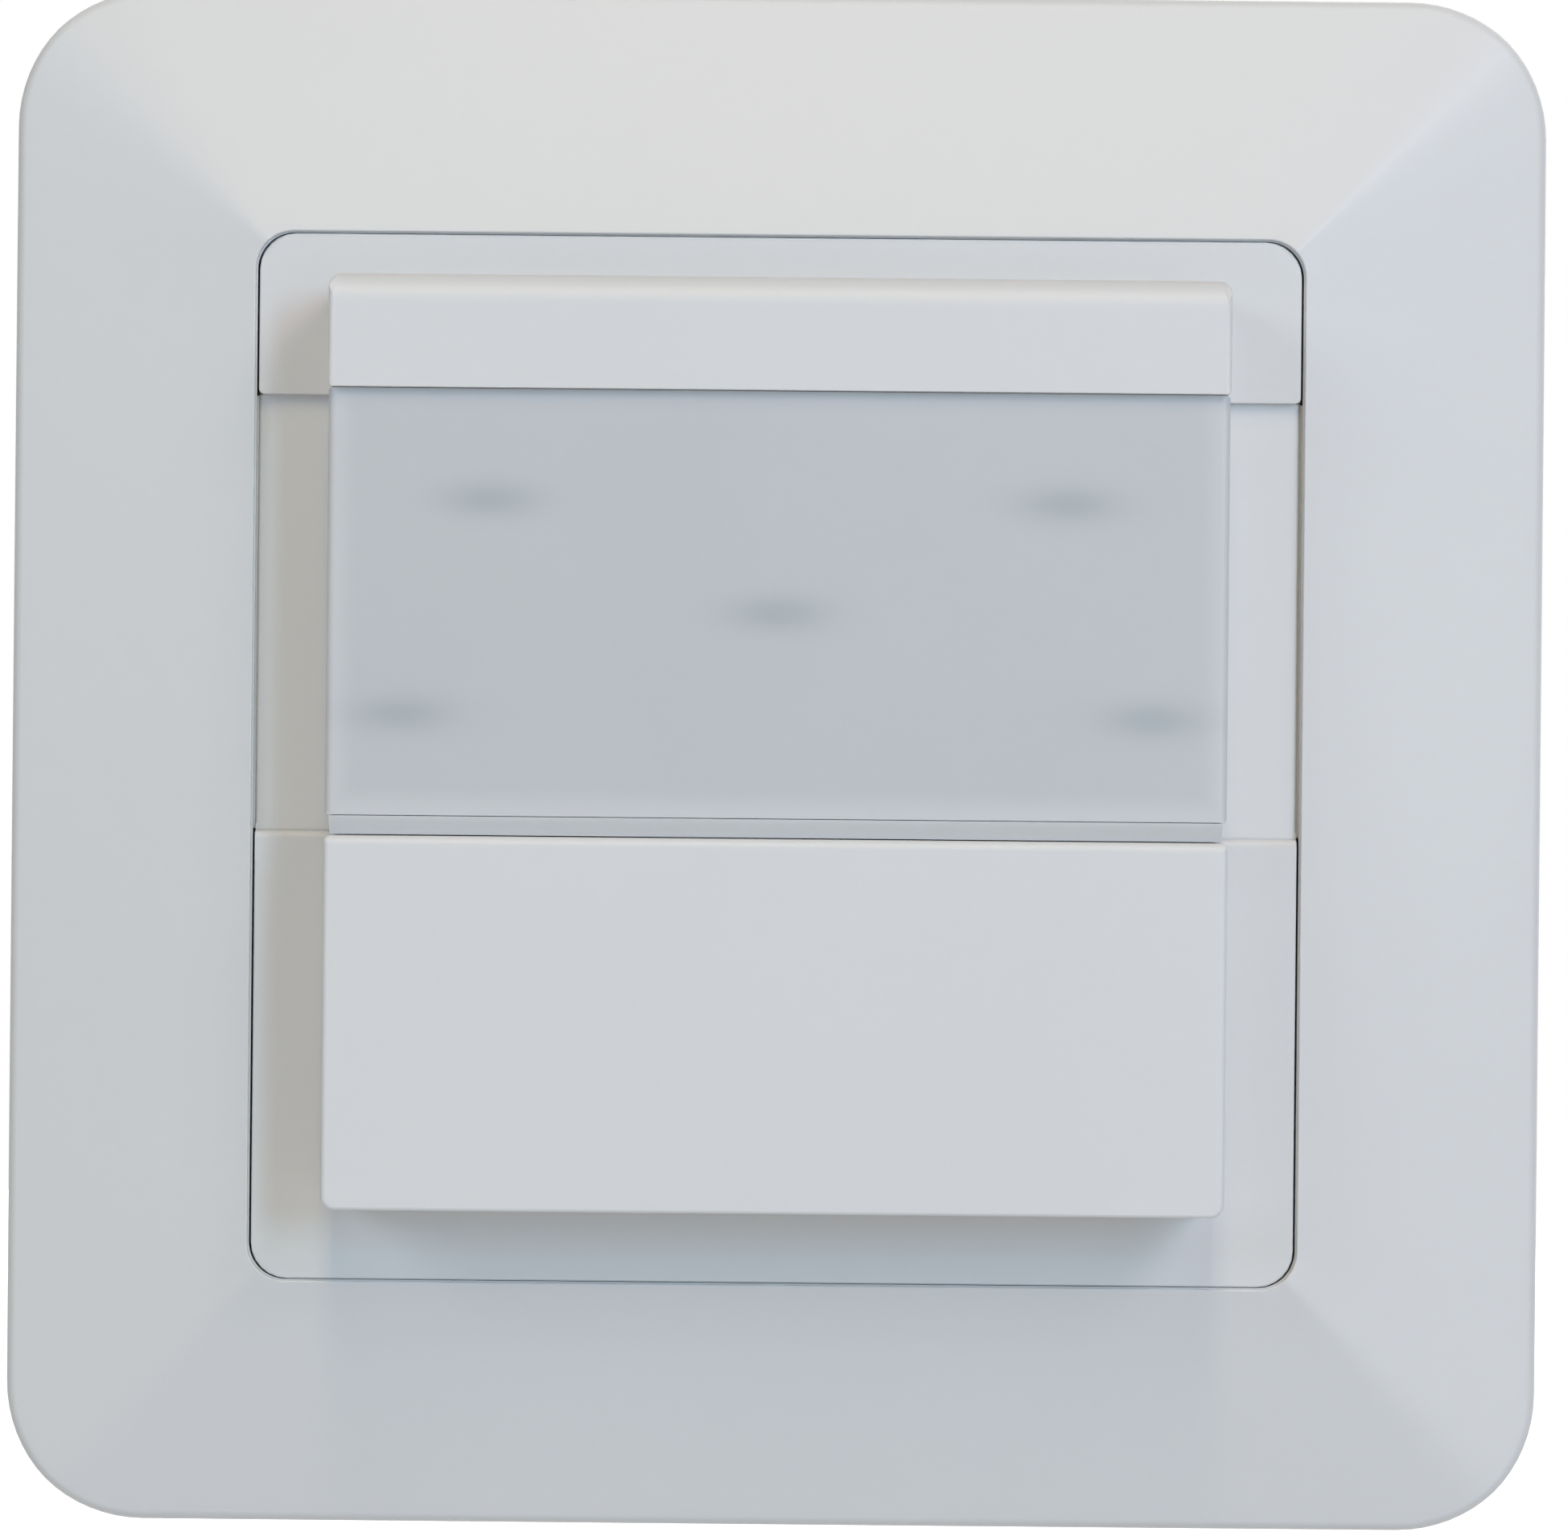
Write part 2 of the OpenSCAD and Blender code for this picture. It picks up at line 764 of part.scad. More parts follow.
module sensor_board() {
    color("seagreen")
    upright()
    difference() {
        box([-board_x, board_end, board_low], [board_x, board_high, board_top]);
        post([0, spring_y], spring_seat_r + slip, board_low - past, board_top + past);
        box([-spring_seat_r - slip, board_end - past, board_low - past],
            [spring_seat_r + slip, spring_y, board_top + past]);
        for (x = [-board_screw_x, board_screw_x], y = board_screw_y)
            post([x, y], board_screw_r + board_hole_clear, board_low - past, board_top + past);
        at_pins()
        box([-pin_w, -pin_w, board_low - past], [pin_w, pin_w, board_top + past]);
    }
}

module board_screws() {
    color("silver")
    upright()
    for (x = [-board_screw_x, board_screw_x], y = board_screw_y)
        translate([x, y, 0])
        difference() {
            union() {
                post([0, 0], board_head_r, board_top, board_top + board_head_h);
                post([0, 0], board_screw_r, board_screw_low, board_top);
            }
            driver_slot(board_head_r, board_top + board_head_h / 2, board_top + board_head_h + past);
        }
}

// Size of the motion sensor's window, how deep it is let in, and the rim around the can
pir_window_w = 4.8;
pir_window_l = 3.6;
pir_window_t = 0.3;
pir_rim_w = 0.5;
pir_rim_h = 0.8;

module pir_sensor() {
    color("silver")
    upright()
    translate([0, lens_mid, board_top])
    difference() {
        union() {
            cylinder(r = pir_r + pir_rim_w, h = pir_rim_h);
            cylinder(r = pir_r, h = pir_h);
        }
        box([-pir_window_w / 2, -pir_window_l / 2, pir_h - pir_window_t],
            [pir_window_w / 2, pir_window_l / 2, pir_h + past]);
    }
}

module pir_window() {
    color("dimgray")
    upright()
    translate([0, lens_mid, board_top])
    box([-pir_window_w / 2, -pir_window_l / 2, pir_h - pir_window_t],
        [pir_window_w / 2, pir_window_l / 2, pir_h]);
}

// Places of the light sensor and the lamp, beside the motion sensor
side_sensor_gap = 7;
side_sensor_y = lens_low + 5;

module light_sensor() {
    cell_r = 2.5;
    cell_h = 2;
    strip = [3.6, 0.6, 0.2];
    color("chocolate")
    upright()
    translate([-pir_r - side_sensor_gap, side_sensor_y, board_top])
    union() {
        cylinder(r = cell_r, h = cell_h);
        box([-strip[0] / 2, -strip[1] / 2, cell_h], [strip[0] / 2, strip[1] / 2, cell_h + strip[2]]);
    }
}

module status_led() {
    led_r = 1.5;
    led_h = 3;
    led_rim = [0.4, 1];
    color("firebrick")
    upright()
    translate([pir_r + side_sensor_gap, side_sensor_y, board_top])
    union() {
        cylinder(r = led_r + led_rim[0], h = led_rim[1]);
        cylinder(r = led_r, h = led_h);
        intersection() {
            translate([0, 0, led_h])
            sphere(led_r);
            box([-led_r, -led_r, led_h], [led_r, led_r, led_h + led_r]);
        }
    }
}

module push_switch() {
    color("dimgray")
    upright()
    translate([0, switch_y, board_top])
    difference() {
        box([-switch_w / 2, -switch_w / 2, 0], [switch_w / 2, switch_w / 2, switch_h]);
        post([0, 0], plunger_r + stem_clear, switch_floor, switch_h + past);
    }
}

module switch_plunger() {
    color("black")
    upright()
    translate([0, switch_y, board_top])
    post([0, 0], plunger_r, switch_floor + plunger_play, switch_h + plunger_out);
}

// Points on the spring's wire: rings of sides around a helix, with closed ends
spring_sides = 6;
spring_steps = 16 * spring_turns;
spring_rise = spring_len - 2 * spring_wire_r;
function spring_turn(i) = 360 * spring_turns * i / spring_steps;
function spring_centre(i) = [
    spring_r * cos(spring_turn(i)),
    spring_r * sin(spring_turn(i)),
    spring_low + spring_gap + spring_wire_r + spring_rise * i / spring_steps
];
function spring_point(i, k) =
    let (out = spring_wire_r * cos(360 * k / spring_sides), a = spring_turn(i))
    spring_centre(i) + [out * cos(a), out * sin(a), spring_wire_r * sin(360 * k / spring_sides)];
function spring_index(i, k) = i * spring_sides + k % spring_sides;
spring_pitch = spring_rise / spring_turns;
echo(str("key spring, least gap between turns in mm: ", spring_pitch - 2 * spring_wire_r));

module key_spring() {
    points = [for (i = [0 : spring_steps], k = [0 : spring_sides - 1]) spring_point(i, k)];
    sides = [
        for (i = [0 : spring_steps - 1], k = [0 : spring_sides - 1], half_face = [0, 1])
        half_face == 0
            ? [spring_index(i, k), spring_index(i + 1, k), spring_index(i + 1, k + 1)]
            : [spring_index(i, k), spring_index(i + 1, k + 1), spring_index(i, k + 1)]
    ];
    first_end = [
        for (k = [1 : spring_sides - 2])
        [spring_index(0, 0), spring_index(0, k), spring_index(0, k + 1)]
    ];
    last_end = [
        for (k = [1 : spring_sides - 2])
        [spring_index(spring_steps, 0), spring_index(spring_steps, k + 1), spring_index(spring_steps, k)]
    ];
    color("silver")
    upright()
    translate([0, spring_y, 0])
    polyhedron(points, concat(sides, first_end, last_end));
}

// Body of a setting control, with a bore for its rotor
module trimmer(x) {
    color("royalblue")
    upright()
    translate([x, trimmer_y, board_top])
    difference() {
        box([-trimmer_w / 2, -trimmer_w / 2, 0], [trimmer_w / 2, trimmer_w / 2, trimmer_h]);
        post([0, 0], rotor_stem_r + stem_clear, rotor_floor, trimmer_h + past);
    }
}

// Rotor of a setting control, with a screwdriver slot and a pointer notch
module rotor(x) {
    top = trimmer_h + rotor_play + rotor_h;
    color("white")
    upright()
    translate([x, trimmer_y, board_top])
    difference() {
        union() {
            post([0, 0], rotor_stem_r, rotor_floor + rotor_play, trimmer_h + rotor_play);
            post([0, 0], rotor_r, trimmer_h + rotor_play, top);
        }
        box([-rotor_slot_w / 2, -rotor_slot_reach * rotor_r, top - rotor_slot_d],
            [rotor_slot_w / 2, rotor_r + past, top + past]);
    }
}

module time_trimmer() {
    trimmer(-trimmer_at);
}

module time_rotor() {
    rotor(-trimmer_at);
}

module light_trimmer() {
    trimmer(trimmer_at);
}

module light_rotor() {
    rotor(trimmer_at);
}

// How far the header pins stand off the power board and out of the sensor board
pin_stand = 1.2;
pin_out = 0.6;
pin_low = power_top + pin_stand;
// Room around the header, above the socket and around each pin in its cell
header_lift = 0.2;
socket_drop = 0.4;
socket_top = flange_top - socket_drop;
cell_clear = 0.08;

module pin_header() {
    color("black")
    upright()
    translate([0, header_y, 0])
    difference() {
        box([-header_len / 2, -header_w / 2, cover_top + header_lift],
            [header_len / 2, header_w / 2, board_low]);
        translate([0, -header_y, 0])
        at_pins()
        box([-pin_w / 2, -pin_w / 2, cover_top - past], [pin_w / 2, pin_w / 2, board_low + past]);
    }
}

module header_pins() {
    color("gold")
    upright()
    at_pins()
    box([-pin_w / 2, -pin_w / 2, pin_low], [pin_w / 2, pin_w / 2, board_top + pin_out]);
}

module header_socket() {
    cell = pin_w / 2 + cell_clear;
    color("black")
    upright()
    difference() {
        translate([0, header_y, 0])
        box([-header_len / 2, -header_w / 2, power_top], [header_len / 2, header_w / 2, socket_top]);
        at_pins()
        box([-cell, -cell, pin_low - header_lift], [cell, cell, socket_top + past]);
    }
}

// Slot for a box screw, along the width
module box_slot() {
    reach = box_slot_len / 2 - box_slot_r;
    box([-reach, -box_slot_r, -past], [reach, box_slot_r, ring_t + past]);
    post([-reach, 0], box_slot_r, -past, ring_t + past);
    post([reach, 0], box_slot_r, -past, ring_t + past);
}

// Places of the four ring rivets
module at_rivets() {
    for (x = [-rivet_x, rivet_x], y = [-rivet_y, rivet_y])
        translate([x, y, 0])
        children();
}

module support_ring() {
    color("silver")
    upright()
    difference() {
        slab(ring_w, ring_corner_r, 0, ring_t);
        raised(-past, ring_t + past)
        insert_outline(insert_fit);
        for (turn = [0 : 90 : 270])
            rotate(turn)
            translate([box_pitch / 2, 0, 0])
            box_slot();
        both_sides()
        post([claw_screw_x, 0], claw_screw_r + claw_hole_clear, -past, ring_t + past);
        at_rivets()
        post([0, 0], rivet_r, -past, ring_t + past);
    }
}

module ring_rivets() {
    color("lightsteelblue")
    upright()
    at_rivets()
    union() {
        post([0, 0], rivet_r, 0, flange_top);
        post([0, 0], rivet_head_r, flange_top, flange_top + rivet_head_h);
    }
}

// Hollow of the insert, stepped where the terminal block sits behind it
module insert_hollow() {
    difference() {
        raised(insert_wall - insert_depth, flange_top + past)
        insert_outline(-insert_wall);
        box([-insert_w, -insert_h, -insert_depth],
            [insert_w, recess_y + insert_wall, recess_z + insert_wall]);
    }
}

// Bosses for the cover's screws, with a shoulder that the power board rests on
module insert_bosses() {
    intersection() {
        raised(insert_wall - insert_depth, flange_top)
        insert_outline(-insert_wall / 2);
        union() {
            at_bosses()
            post([0, 0], boss_r, recess_z, flange_top);
            at_bosses()
            post([0, 0], boss_r + boss_step, recess_z, power_low);
        }
    }
}

module insert_housing() {
    color("gray")
    upright()
    difference() {
        union() {
            difference() {
                raised(-insert_depth, flange_top)
                insert_outline(0);
                insert_hollow();
                box([-insert_w, -insert_h, -insert_depth - past], [insert_w, recess_y, recess_z]);
            }
            insert_bosses();
            raised(ring_t, flange_top)
            difference() {
                square([insert_w + 2 * flange_over, insert_h + 2 * flange_over], center = true);
                insert_outline(-insert_wall);
                both_sides()
                translate([channel_x - insert_wall, -channel_w / 2])
                square([insert_w, channel_w]);
            }
        }
        at_rivets()
        post([0, 0], rivet_r, -past, flange_top + past);
        at_bosses()
        post([0, 0], cover_screw_r, flange_top - cover_screw_len, flange_top + past);
        both_sides()
        translate([claw_x, 0, claw_z])
        rotate([90, 0, 0])
        cylinder(r = claw_pin_r, h = claw_pin_len, center = true);
        at_terminals()
        box([-lead_w, lead_y - lead_w, recess_z - past],
            [lead_w, lead_y + lead_w, recess_z + insert_wall + past]);
    }
}

module insert_cover() {
    color("dimgray")
    upright()
    difference() {
        raised(flange_top, cover_top)
        insert_outline(flange_over - cover_inset);
        at_rivets()
        post([0, 0], rivet_head_r + slip, flange_top - past, cover_top + past);
        at_bosses()
        post([0, 0], cover_screw_r + cover_hole_clear, flange_top - past, cover_top + past);
        at_bosses()
        post([0, 0], cover_head_r + cover_hole_clear, cover_top - cover_head_h, cover_top + past);
        both_sides()
        box([latch_x - slip, -latch_w / 2 - slip, flange_top - past],
            [latch_x + latch_t + slip, latch_w / 2 + slip, cover_top + past]);
        translate([0, header_y, 0])
        box([-header_len / 2 - slip, -header_w / 2 - slip, flange_top - past],
            [header_len / 2 + slip, header_w / 2 + slip, cover_top + past]);
    }
}

module cover_screws() {
    seat = cover_top - cover_head_h;
    color("silver")
    upright()
    at_bosses()
    difference() {
        union() {
            post([0, 0], cover_head_r, seat, cover_top);
            post([0, 0], cover_screw_r, flange_top - cover_screw_len + cover_screw_play, seat);
        }
        driver_slot(cover_head_r, seat + cover_head_h / 2, cover_top + past);
    }
}

module power_board() {
    color("seagreen")
    upright()
    difference() {
        raised(power_low, power_top)
        intersection() {
            square([power_w, 2 * (insert_inner_y - slip)], center = true);
            insert_outline(-insert_wall - slip);
        }
        at_bosses()
        post([0, 0], boss_r + slip, power_low - past, power_top + past);
        at_terminals()
        box([-lead_w, lead_y - lead_w, power_low - past], [lead_w, lead_y + lead_w, power_top + past]);
    }
}

// Sizes of the components on the power board, as width, length and height
transformer_size = [10, 4.8, 10];
varistor_r = 4;
varistor_t = 3;
varistor_lead = 0.8;
bulk_r = 3.6;
bulk_h = 11;
fuse_r = 3.6;
fuse_h = 7;
// Gap between neighbouring components
part_gap = 0.6;
// Left edge of the relay, and the two rows in which the components stand
relay_x = -3.2;
row_low = recess_y + insert_wall + part_gap;
row_high = row_low + transformer_size[1] + varistor_t + 2 * part_gap;
// The upper row fills the length up to the housing's wall
row_end_gap = 3.4;
row_len = insert_inner_y - row_end_gap - row_high;
film_short = 2.5;
relay_size = [15, row_len, 15.5];
film_size = [8, row_len - film_short, 13];

// Component block on the back of the power board
module component(x, y, size) {
    box([x, y, power_low - size[2]], [x + size[0], y + size[1], power_low]);
}

module relay() {
    color("royalblue")
    upright()
    component(relay_x, row_high, relay_size);
}

module film_capacitor() {
    color("gold")
    upright()
    component(relay_x - part_gap - film_size[0], row_high, film_size);
}

module bulk_capacitor() {
    color("midnightblue")
    upright()
    post([relay_x - part_gap - bulk_r, row_low + bulk_r], bulk_r, power_low - bulk_h, power_low);
}

module varistor() {
    x = relay_x + transformer_size[0] / 2;
    y = row_high - part_gap - varistor_t / 2;
    color("steelblue")
    upright()
    translate([x, y, power_low - varistor_r - varistor_lead])
    rotate([90, 0, 0])
    union() {
        cylinder(r = varistor_r, h = varistor_t, center = true);
        translate([0, (varistor_r + varistor_lead) / 2, 0])
        cube([varistor_r, varistor_r + varistor_lead, varistor_t / 3], center = true);
    }
}

module fuse() {
    x = relay_x + transformer_size[0] + part_gap + fuse_r;
    color("saddlebrown")
    upright()
    post([x, row_low + fuse_r], fuse_r, power_low - fuse_h, power_low);
}

module transformer() {
    window = transformer_size / 4;
    color("darkkhaki")
    upright()
    difference() {
        component(relay_x, row_low, transformer_size);
        translate([relay_x, row_low, power_low - transformer_size[2]])
        box([window[0], -past, window[2]], [3 * window[0], window[1], 3 * window[2]]);
    }
}

module terminal_block() {
    back = -insert_depth;
    color("lightgray")
    upright()
    difference() {
        box([-terminal_w / 2, terminal_low, back], [terminal_w / 2, terminal_high, recess_z]);
        at_terminals()
        union() {
            box([-entry_w / 2, terminal_low - past, entry_z - entry_h / 2],
                [entry_w / 2, clamp_low + clamp_len, entry_z + entry_h / 2]);
            post([0, terminal_screw_y], terminal_screw_r + terminal_hole_clear, back - past, entry_z);
            post([0, terminal_screw_y], terminal_head_r + terminal_head_clear, back - past,
                 back + terminal_head_sink + terminal_head_h);
            box([-lead_w, lead_y - lead_w, entry_z], [lead_w, lead_y + lead_w, recess_z + past]);
        }
    }
}

module terminal_clamps() {
    w = entry_w / 2 - clamp_fit;
    h = entry_h / 2 - clamp_fit;
    color("khaki")
    upright()
    at_terminals()
    union() {
        difference() {
            box([-w, clamp_low, entry_z - h], [w, clamp_low + clamp_len, entry_z + h]);
            box([clamp_t - w, clamp_low - past, entry_z - h + clamp_t],
                [w - clamp_t, clamp_low + clamp_len + past, entry_z + h - clamp_t]);
            post([0, terminal_screw_y], terminal_screw_r, entry_z - h - past, entry_z);
        }
        box([-lead_w / 2, lead_y - lead_w / 2, entry_z + h - clamp_t],
            [lead_w / 2, lead_y + lead_w / 2, power_top + lead_out]);
    }
}

module terminal_screws() {
    head_low = terminal_head_sink - insert_depth;
    tip = entry_z - entry_h / 2 + clamp_t + terminal_screw_in;
    color("silver")
    upright()
    at_terminals()
    translate([0, terminal_screw_y, 0])
    difference() {
        union() {
            post([0, 0], terminal_head_r, head_low, head_low + terminal_head_h);
            post([0, 0], terminal_screw_r, head_low + terminal_head_h, tip);
        }
        driver_slot(terminal_head_r, head_low - past, head_low + terminal_slot_d);
    }
}

// Spreading claw on the right side, at rest beside the insert
module claw() {
    w = claw_w / 2;
    x0 = claw_x - claw_t / 2;
    x1 = claw_x + claw_t / 2;
    foot_x = x1 + claw_foot;
    tab_x = claw_screw_x + claw_screw_r + slip;
    difference() {
        union() {
            translate([claw_x, 0, claw_z])
            rotate([90, 0, 0])
            cylinder(r = claw_eye_r, h = claw_w, center = true);
            box([x0, -w, -claw_len], [x1, w, claw_z]);
            box([x0, -w, claw_tab_z - claw_t], [tab_x + claw_t, w, claw_tab_z]);
            raised(-claw_len, claw_t - claw_len)
            polygon([
                [x0, -w], [foot_x, -w], [foot_x + claw_tooth, claw_tooth - w], [foot_x, 0],
                [foot_x + claw_tooth, w - claw_tooth], [foot_x, w], [x0, w]
            ]);
        }
        translate([claw_x, 0, claw_z])
        rotate([90, 0, 0])
        cylinder(r = claw_pin_r + claw_clear, h = claw_w + past, center = true);
        box([x0 - past, -claw_screw_r - claw_hole_clear, claw_slot_z],
            [tab_x, claw_screw_r + claw_hole_clear, claw_tab_z + claw_slot_lip]);
    }
}

// Screw on the right side that draws its claw forwards
module claw_screw() {
    translate([claw_screw_x, 0, 0])
    difference() {
        union() {
            post([0, 0], claw_head_r, ring_t, ring_t + claw_head_h);
            post([0, 0], claw_screw_r, ring_t - claw_screw_len, ring_t);
        }
        driver_slot(claw_head_r, ring_t + claw_head_h - claw_driver_d, ring_t + claw_head_h + past);
    }
}

module claw_left() {
    color("slategray")
    upright()
    mirror([1, 0, 0])
    claw();
}

module claw_right() {
    color("slategray")
    upright()
    claw();
}

module claw_pins() {
    color("silver")
    upright()
    both_sides()
    translate([claw_x, 0, claw_z])
    rotate([90, 0, 0])
    cylinder(r = claw_pin_r, h = claw_pin_len, center = true);
}

module claw_screw_left() {
    color("silver")
    upright()
    mirror([1, 0, 0])
    claw_screw();
}

module claw_screw_right() {
    color("silver")
    upright()
    claw_screw();
}

cover_frame();
hood();
fresnel_lens();
push_key();
head_frame();
head_back();
sensor_board();
board_screws();
pir_sensor();
pir_window();
light_sensor();
status_led();
push_switch();
switch_plunger();
key_spring();
time_trimmer();
time_rotor();
light_trimmer();
light_rotor();
pin_header();
header_pins();
header_socket();
support_ring();
ring_rivets();
insert_housing();
insert_cover();
cover_screws();
power_board();
relay();
film_capacitor();
bulk_capacitor();
varistor();
fuse();
transformer();
terminal_block();
terminal_clamps();
terminal_screws();
claw_left();
claw_right();
claw_pins();
claw_screw_left();
claw_screw_right();
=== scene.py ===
import json
from math import atan, cos, pi, radians, sin, sqrt, tan

import bmesh
import bpy
from mathutils import Euler, Matrix, Vector


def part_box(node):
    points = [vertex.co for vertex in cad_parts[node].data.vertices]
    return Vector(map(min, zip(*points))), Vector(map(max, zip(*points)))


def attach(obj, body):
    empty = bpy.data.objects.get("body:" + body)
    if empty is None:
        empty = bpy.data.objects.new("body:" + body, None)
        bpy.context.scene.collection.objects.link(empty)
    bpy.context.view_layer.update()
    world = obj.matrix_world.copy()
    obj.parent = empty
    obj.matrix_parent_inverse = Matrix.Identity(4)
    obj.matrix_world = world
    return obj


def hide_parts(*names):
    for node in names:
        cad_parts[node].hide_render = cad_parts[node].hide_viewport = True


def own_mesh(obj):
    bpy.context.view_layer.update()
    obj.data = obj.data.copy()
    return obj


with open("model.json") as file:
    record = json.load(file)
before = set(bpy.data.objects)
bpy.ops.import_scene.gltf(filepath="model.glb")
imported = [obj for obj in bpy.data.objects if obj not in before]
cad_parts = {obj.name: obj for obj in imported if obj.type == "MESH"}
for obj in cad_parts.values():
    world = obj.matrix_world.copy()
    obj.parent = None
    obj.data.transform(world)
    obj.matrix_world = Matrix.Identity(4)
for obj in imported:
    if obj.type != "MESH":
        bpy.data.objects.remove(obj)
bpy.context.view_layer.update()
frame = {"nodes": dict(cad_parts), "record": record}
scene = bpy.context.scene
record = frame["record"]
slotOf = {part["node"]: part["material_slot"] for part in record["subparts"]}
bodyOf = {node: body for body, nodes in record["behaviour"]["bodies"].items() for node in nodes}
mm = 0.001  # piece sizes below are in millimetres
hair = 0.02  # keeps faces of joined shapes out of one plane
past = 1  # how far a cutter reaches past what it cuts


# mesh tools: sideways, up the wall, out from the wall

def spot(x, up, out):
    return Vector((x, -out, up)) * mm


def even(value):  # the same for all four edges or corners
    return (value,) * 4


def pair(side, near, far):  # two places on one side, from left to right
    return sorted((side * near, side * far))


def reach(node):  # where a CAD node lies
    low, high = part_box(node)
    box = {"x0": low.x / mm, "x1": high.x / mm, "u0": low.z / mm, "u1": high.z / mm,
           "low": -high.y / mm, "top": -low.y / mm}
    box["x"] = (box["x0"] + box["x1"]) / 2
    box["up"] = (box["u0"] + box["u1"]) / 2
    return box


def makePiece(name, bm):
    bmesh.ops.remove_doubles(bm, verts=bm.verts, dist=1e-7)
    bmesh.ops.recalc_face_normals(bm, faces=bm.faces)
    mesh = bpy.data.meshes.new(name)
    bm.to_mesh(mesh)
    bm.free()
    piece = bpy.data.objects.new(name, mesh)
    scene.collection.objects.link(piece)
    return piece


def skin(bm, loops, around=False):
    rings = [[bm.verts.new(point) for point in loop] for loop in loops]
    follow = rings[1:] + rings[:1] if around else rings[1:]
    for near, far in zip(rings, follow):
        for i in range(len(near)):
            j = (i + 1) % len(near)
            bm.faces.new((near[i], near[j], far[j], far[i]))
    if not around:
        bm.faces.new(rings[0][::-1])
        bm.faces.new(rings[-1])


def settle(piece):  # the piece's live modifiers become its plain mesh
    bpy.context.view_layer.update()
    graph = bpy.context.evaluated_depsgraph_get()
    mesh = bpy.data.meshes.new_from_object(piece.evaluated_get(graph))
    piece.modifiers.clear()
    piece.data = mesh


def combine(piece, others, how):
    for other in others:
        step = piece.modifiers.new(how, "BOOLEAN")
        step.operation = how
        step.solver = "EXACT"
        step.object = other
        settle(piece)
        bpy.data.objects.remove(other)
    return piece


def cornerLoop(x0, x1, u0, u1, radii, arc):  # corners after the right, top, left and bottom sides
    corners = ((x1, u1, -1, -1), (x0, u1, 1, -1), (x0, u0, 1, 1), (x1, u0, -1, 1))
    loop = []
    for k, (x, u, dx, du) in enumerate(corners):
        for i in range(arc + 1):
            a = (k + i / arc) * pi / 2
            loop.append((x + radii[k] * (dx + cos(a)), u + radii[k] * (du + sin(a)), k, i / arc))
    return loop


def softBlock(name, rect, low, high, rounds, corners, steps=8, arc=6, leastCorner=0.03):
    x0, x1, u0, u1 = rect  # rounds are for the right, top, left and bottom front edges
    base = cornerLoop(x0, x1, u0, u1, corners, arc)
    loops = [[spot(x, u, low) for x, u, k, t in base]]
    for s in range(steps + 1):
        a = pi / 2 * s / steps
        step = [r * (1 - cos(a)) for r in rounds]
        drop = [r * (1 - sin(a)) for r in rounds]
        radii = [max(c - (step[k] + step[(k + 1) % 4]) / 2, leastCorner) for k, c in enumerate(corners)]
        ring = cornerLoop(x0 + step[2], x1 - step[0], u0 + step[3], u1 - step[1], radii, arc)
        loops.append([spot(x, u, high - drop[k] * (1 - t) - drop[(k + 1) % 4] * t)
                      for x, u, k, t in ring])
    bm = bmesh.new()
    skin(bm, loops)
    return makePiece(name, bm)


def cutBlock(rect, low, high):
    x0, x1, u0, u1 = rect
    loop = ((x0, u0), (x1, u0), (x1, u1), (x0, u1))
    bm = bmesh.new()
    skin(bm, [[spot(x, u, out) for x, u in loop] for out in (low, high)])
    return makePiece("cutBlock", bm)


def sideBar(outline, x0, x1):  # an outline of up and out, drawn out sideways
    bm = bmesh.new()
    skin(bm, [[spot(x, up, out) for up, out in outline] for x in (x0, x1)])
    return makePiece("sideBar", bm)


def turned(profile, x, up, sides=32):  # radius and out, turned about a line off the wall
    ring = [2 * pi * i / sides for i in range(sides)]
    bm = bmesh.new()
    skin(bm, [[spot(x + r * cos(a), up + r * sin(a), out) for a in ring] for r, out in profile])
    return makePiece("turned", bm)


def crossPin(up, out, radius, x0, x1, sides=24):  # a round pin that lies sideways
    ring = [2 * pi * i / sides for i in range(sides)]
    return sideBar([(up + radius * cos(a), out + radius * sin(a)) for a in ring], x0, x1)


def smoothFaces(piece, sharp=34):
    piece.data.shade_smooth()
    piece.data.set_sharp_from_angle(angle=radians(sharp))
    weigh = piece.modifiers.new("weigh", "WEIGHTED_NORMAL")
    weigh.keep_sharp = True
    settle(piece)
    return piece


edgeRules = {"weld": 0.002, "flat": 1, "sharp": 40, "room": 2.4, "segments": 2}


def clearFlats(bm):
    bmesh.ops.dissolve_limit(bm, angle_limit=radians(edgeRules["flat"]), verts=bm.verts, edges=bm.edges)


def markRoomyEdges(piece, room):  # outer edges whose neighbours are long enough get broken
    bm = bmesh.new()
    bm.from_mesh(piece.data)
    clearFlats(bm)
    weight = bm.edges.layers.float.new("bevel_weight_edge")
    for edge in bm.edges:
        sharp = len(edge.link_faces) == 2 and edge.calc_face_angle_signed() > radians(edgeRules["sharp"])
        near = [other.calc_length() for vert in edge.verts for other in vert.link_edges]
        edge[weight] = float(sharp and min(near) > room)
    bm.to_mesh(piece.data)
    bm.free()


def softenedCopy(name, node, width, cuts=()):  # a copy of a CAD node with its edges broken
    bm = bmesh.new()
    bm.from_mesh(frame["nodes"][node].data)
    bmesh.ops.remove_doubles(bm, verts=bm.verts, dist=edgeRules["weld"] * mm)
    clearFlats(bm)
    piece = combine(makePiece(name, bm), cuts, "DIFFERENCE")
    piece.data.materials.clear()
    markRoomyEdges(piece, edgeRules["room"] * width * mm)
    edge = piece.modifiers.new("edge", "BEVEL")
    edge.width = width * mm
    edge.segments = edgeRules["segments"]
    edge.limit_method = "WEIGHT"
    edge.use_clamp_overlap = False
    settle(piece)
    return smoothFaces(piece, edgeRules["sharp"])


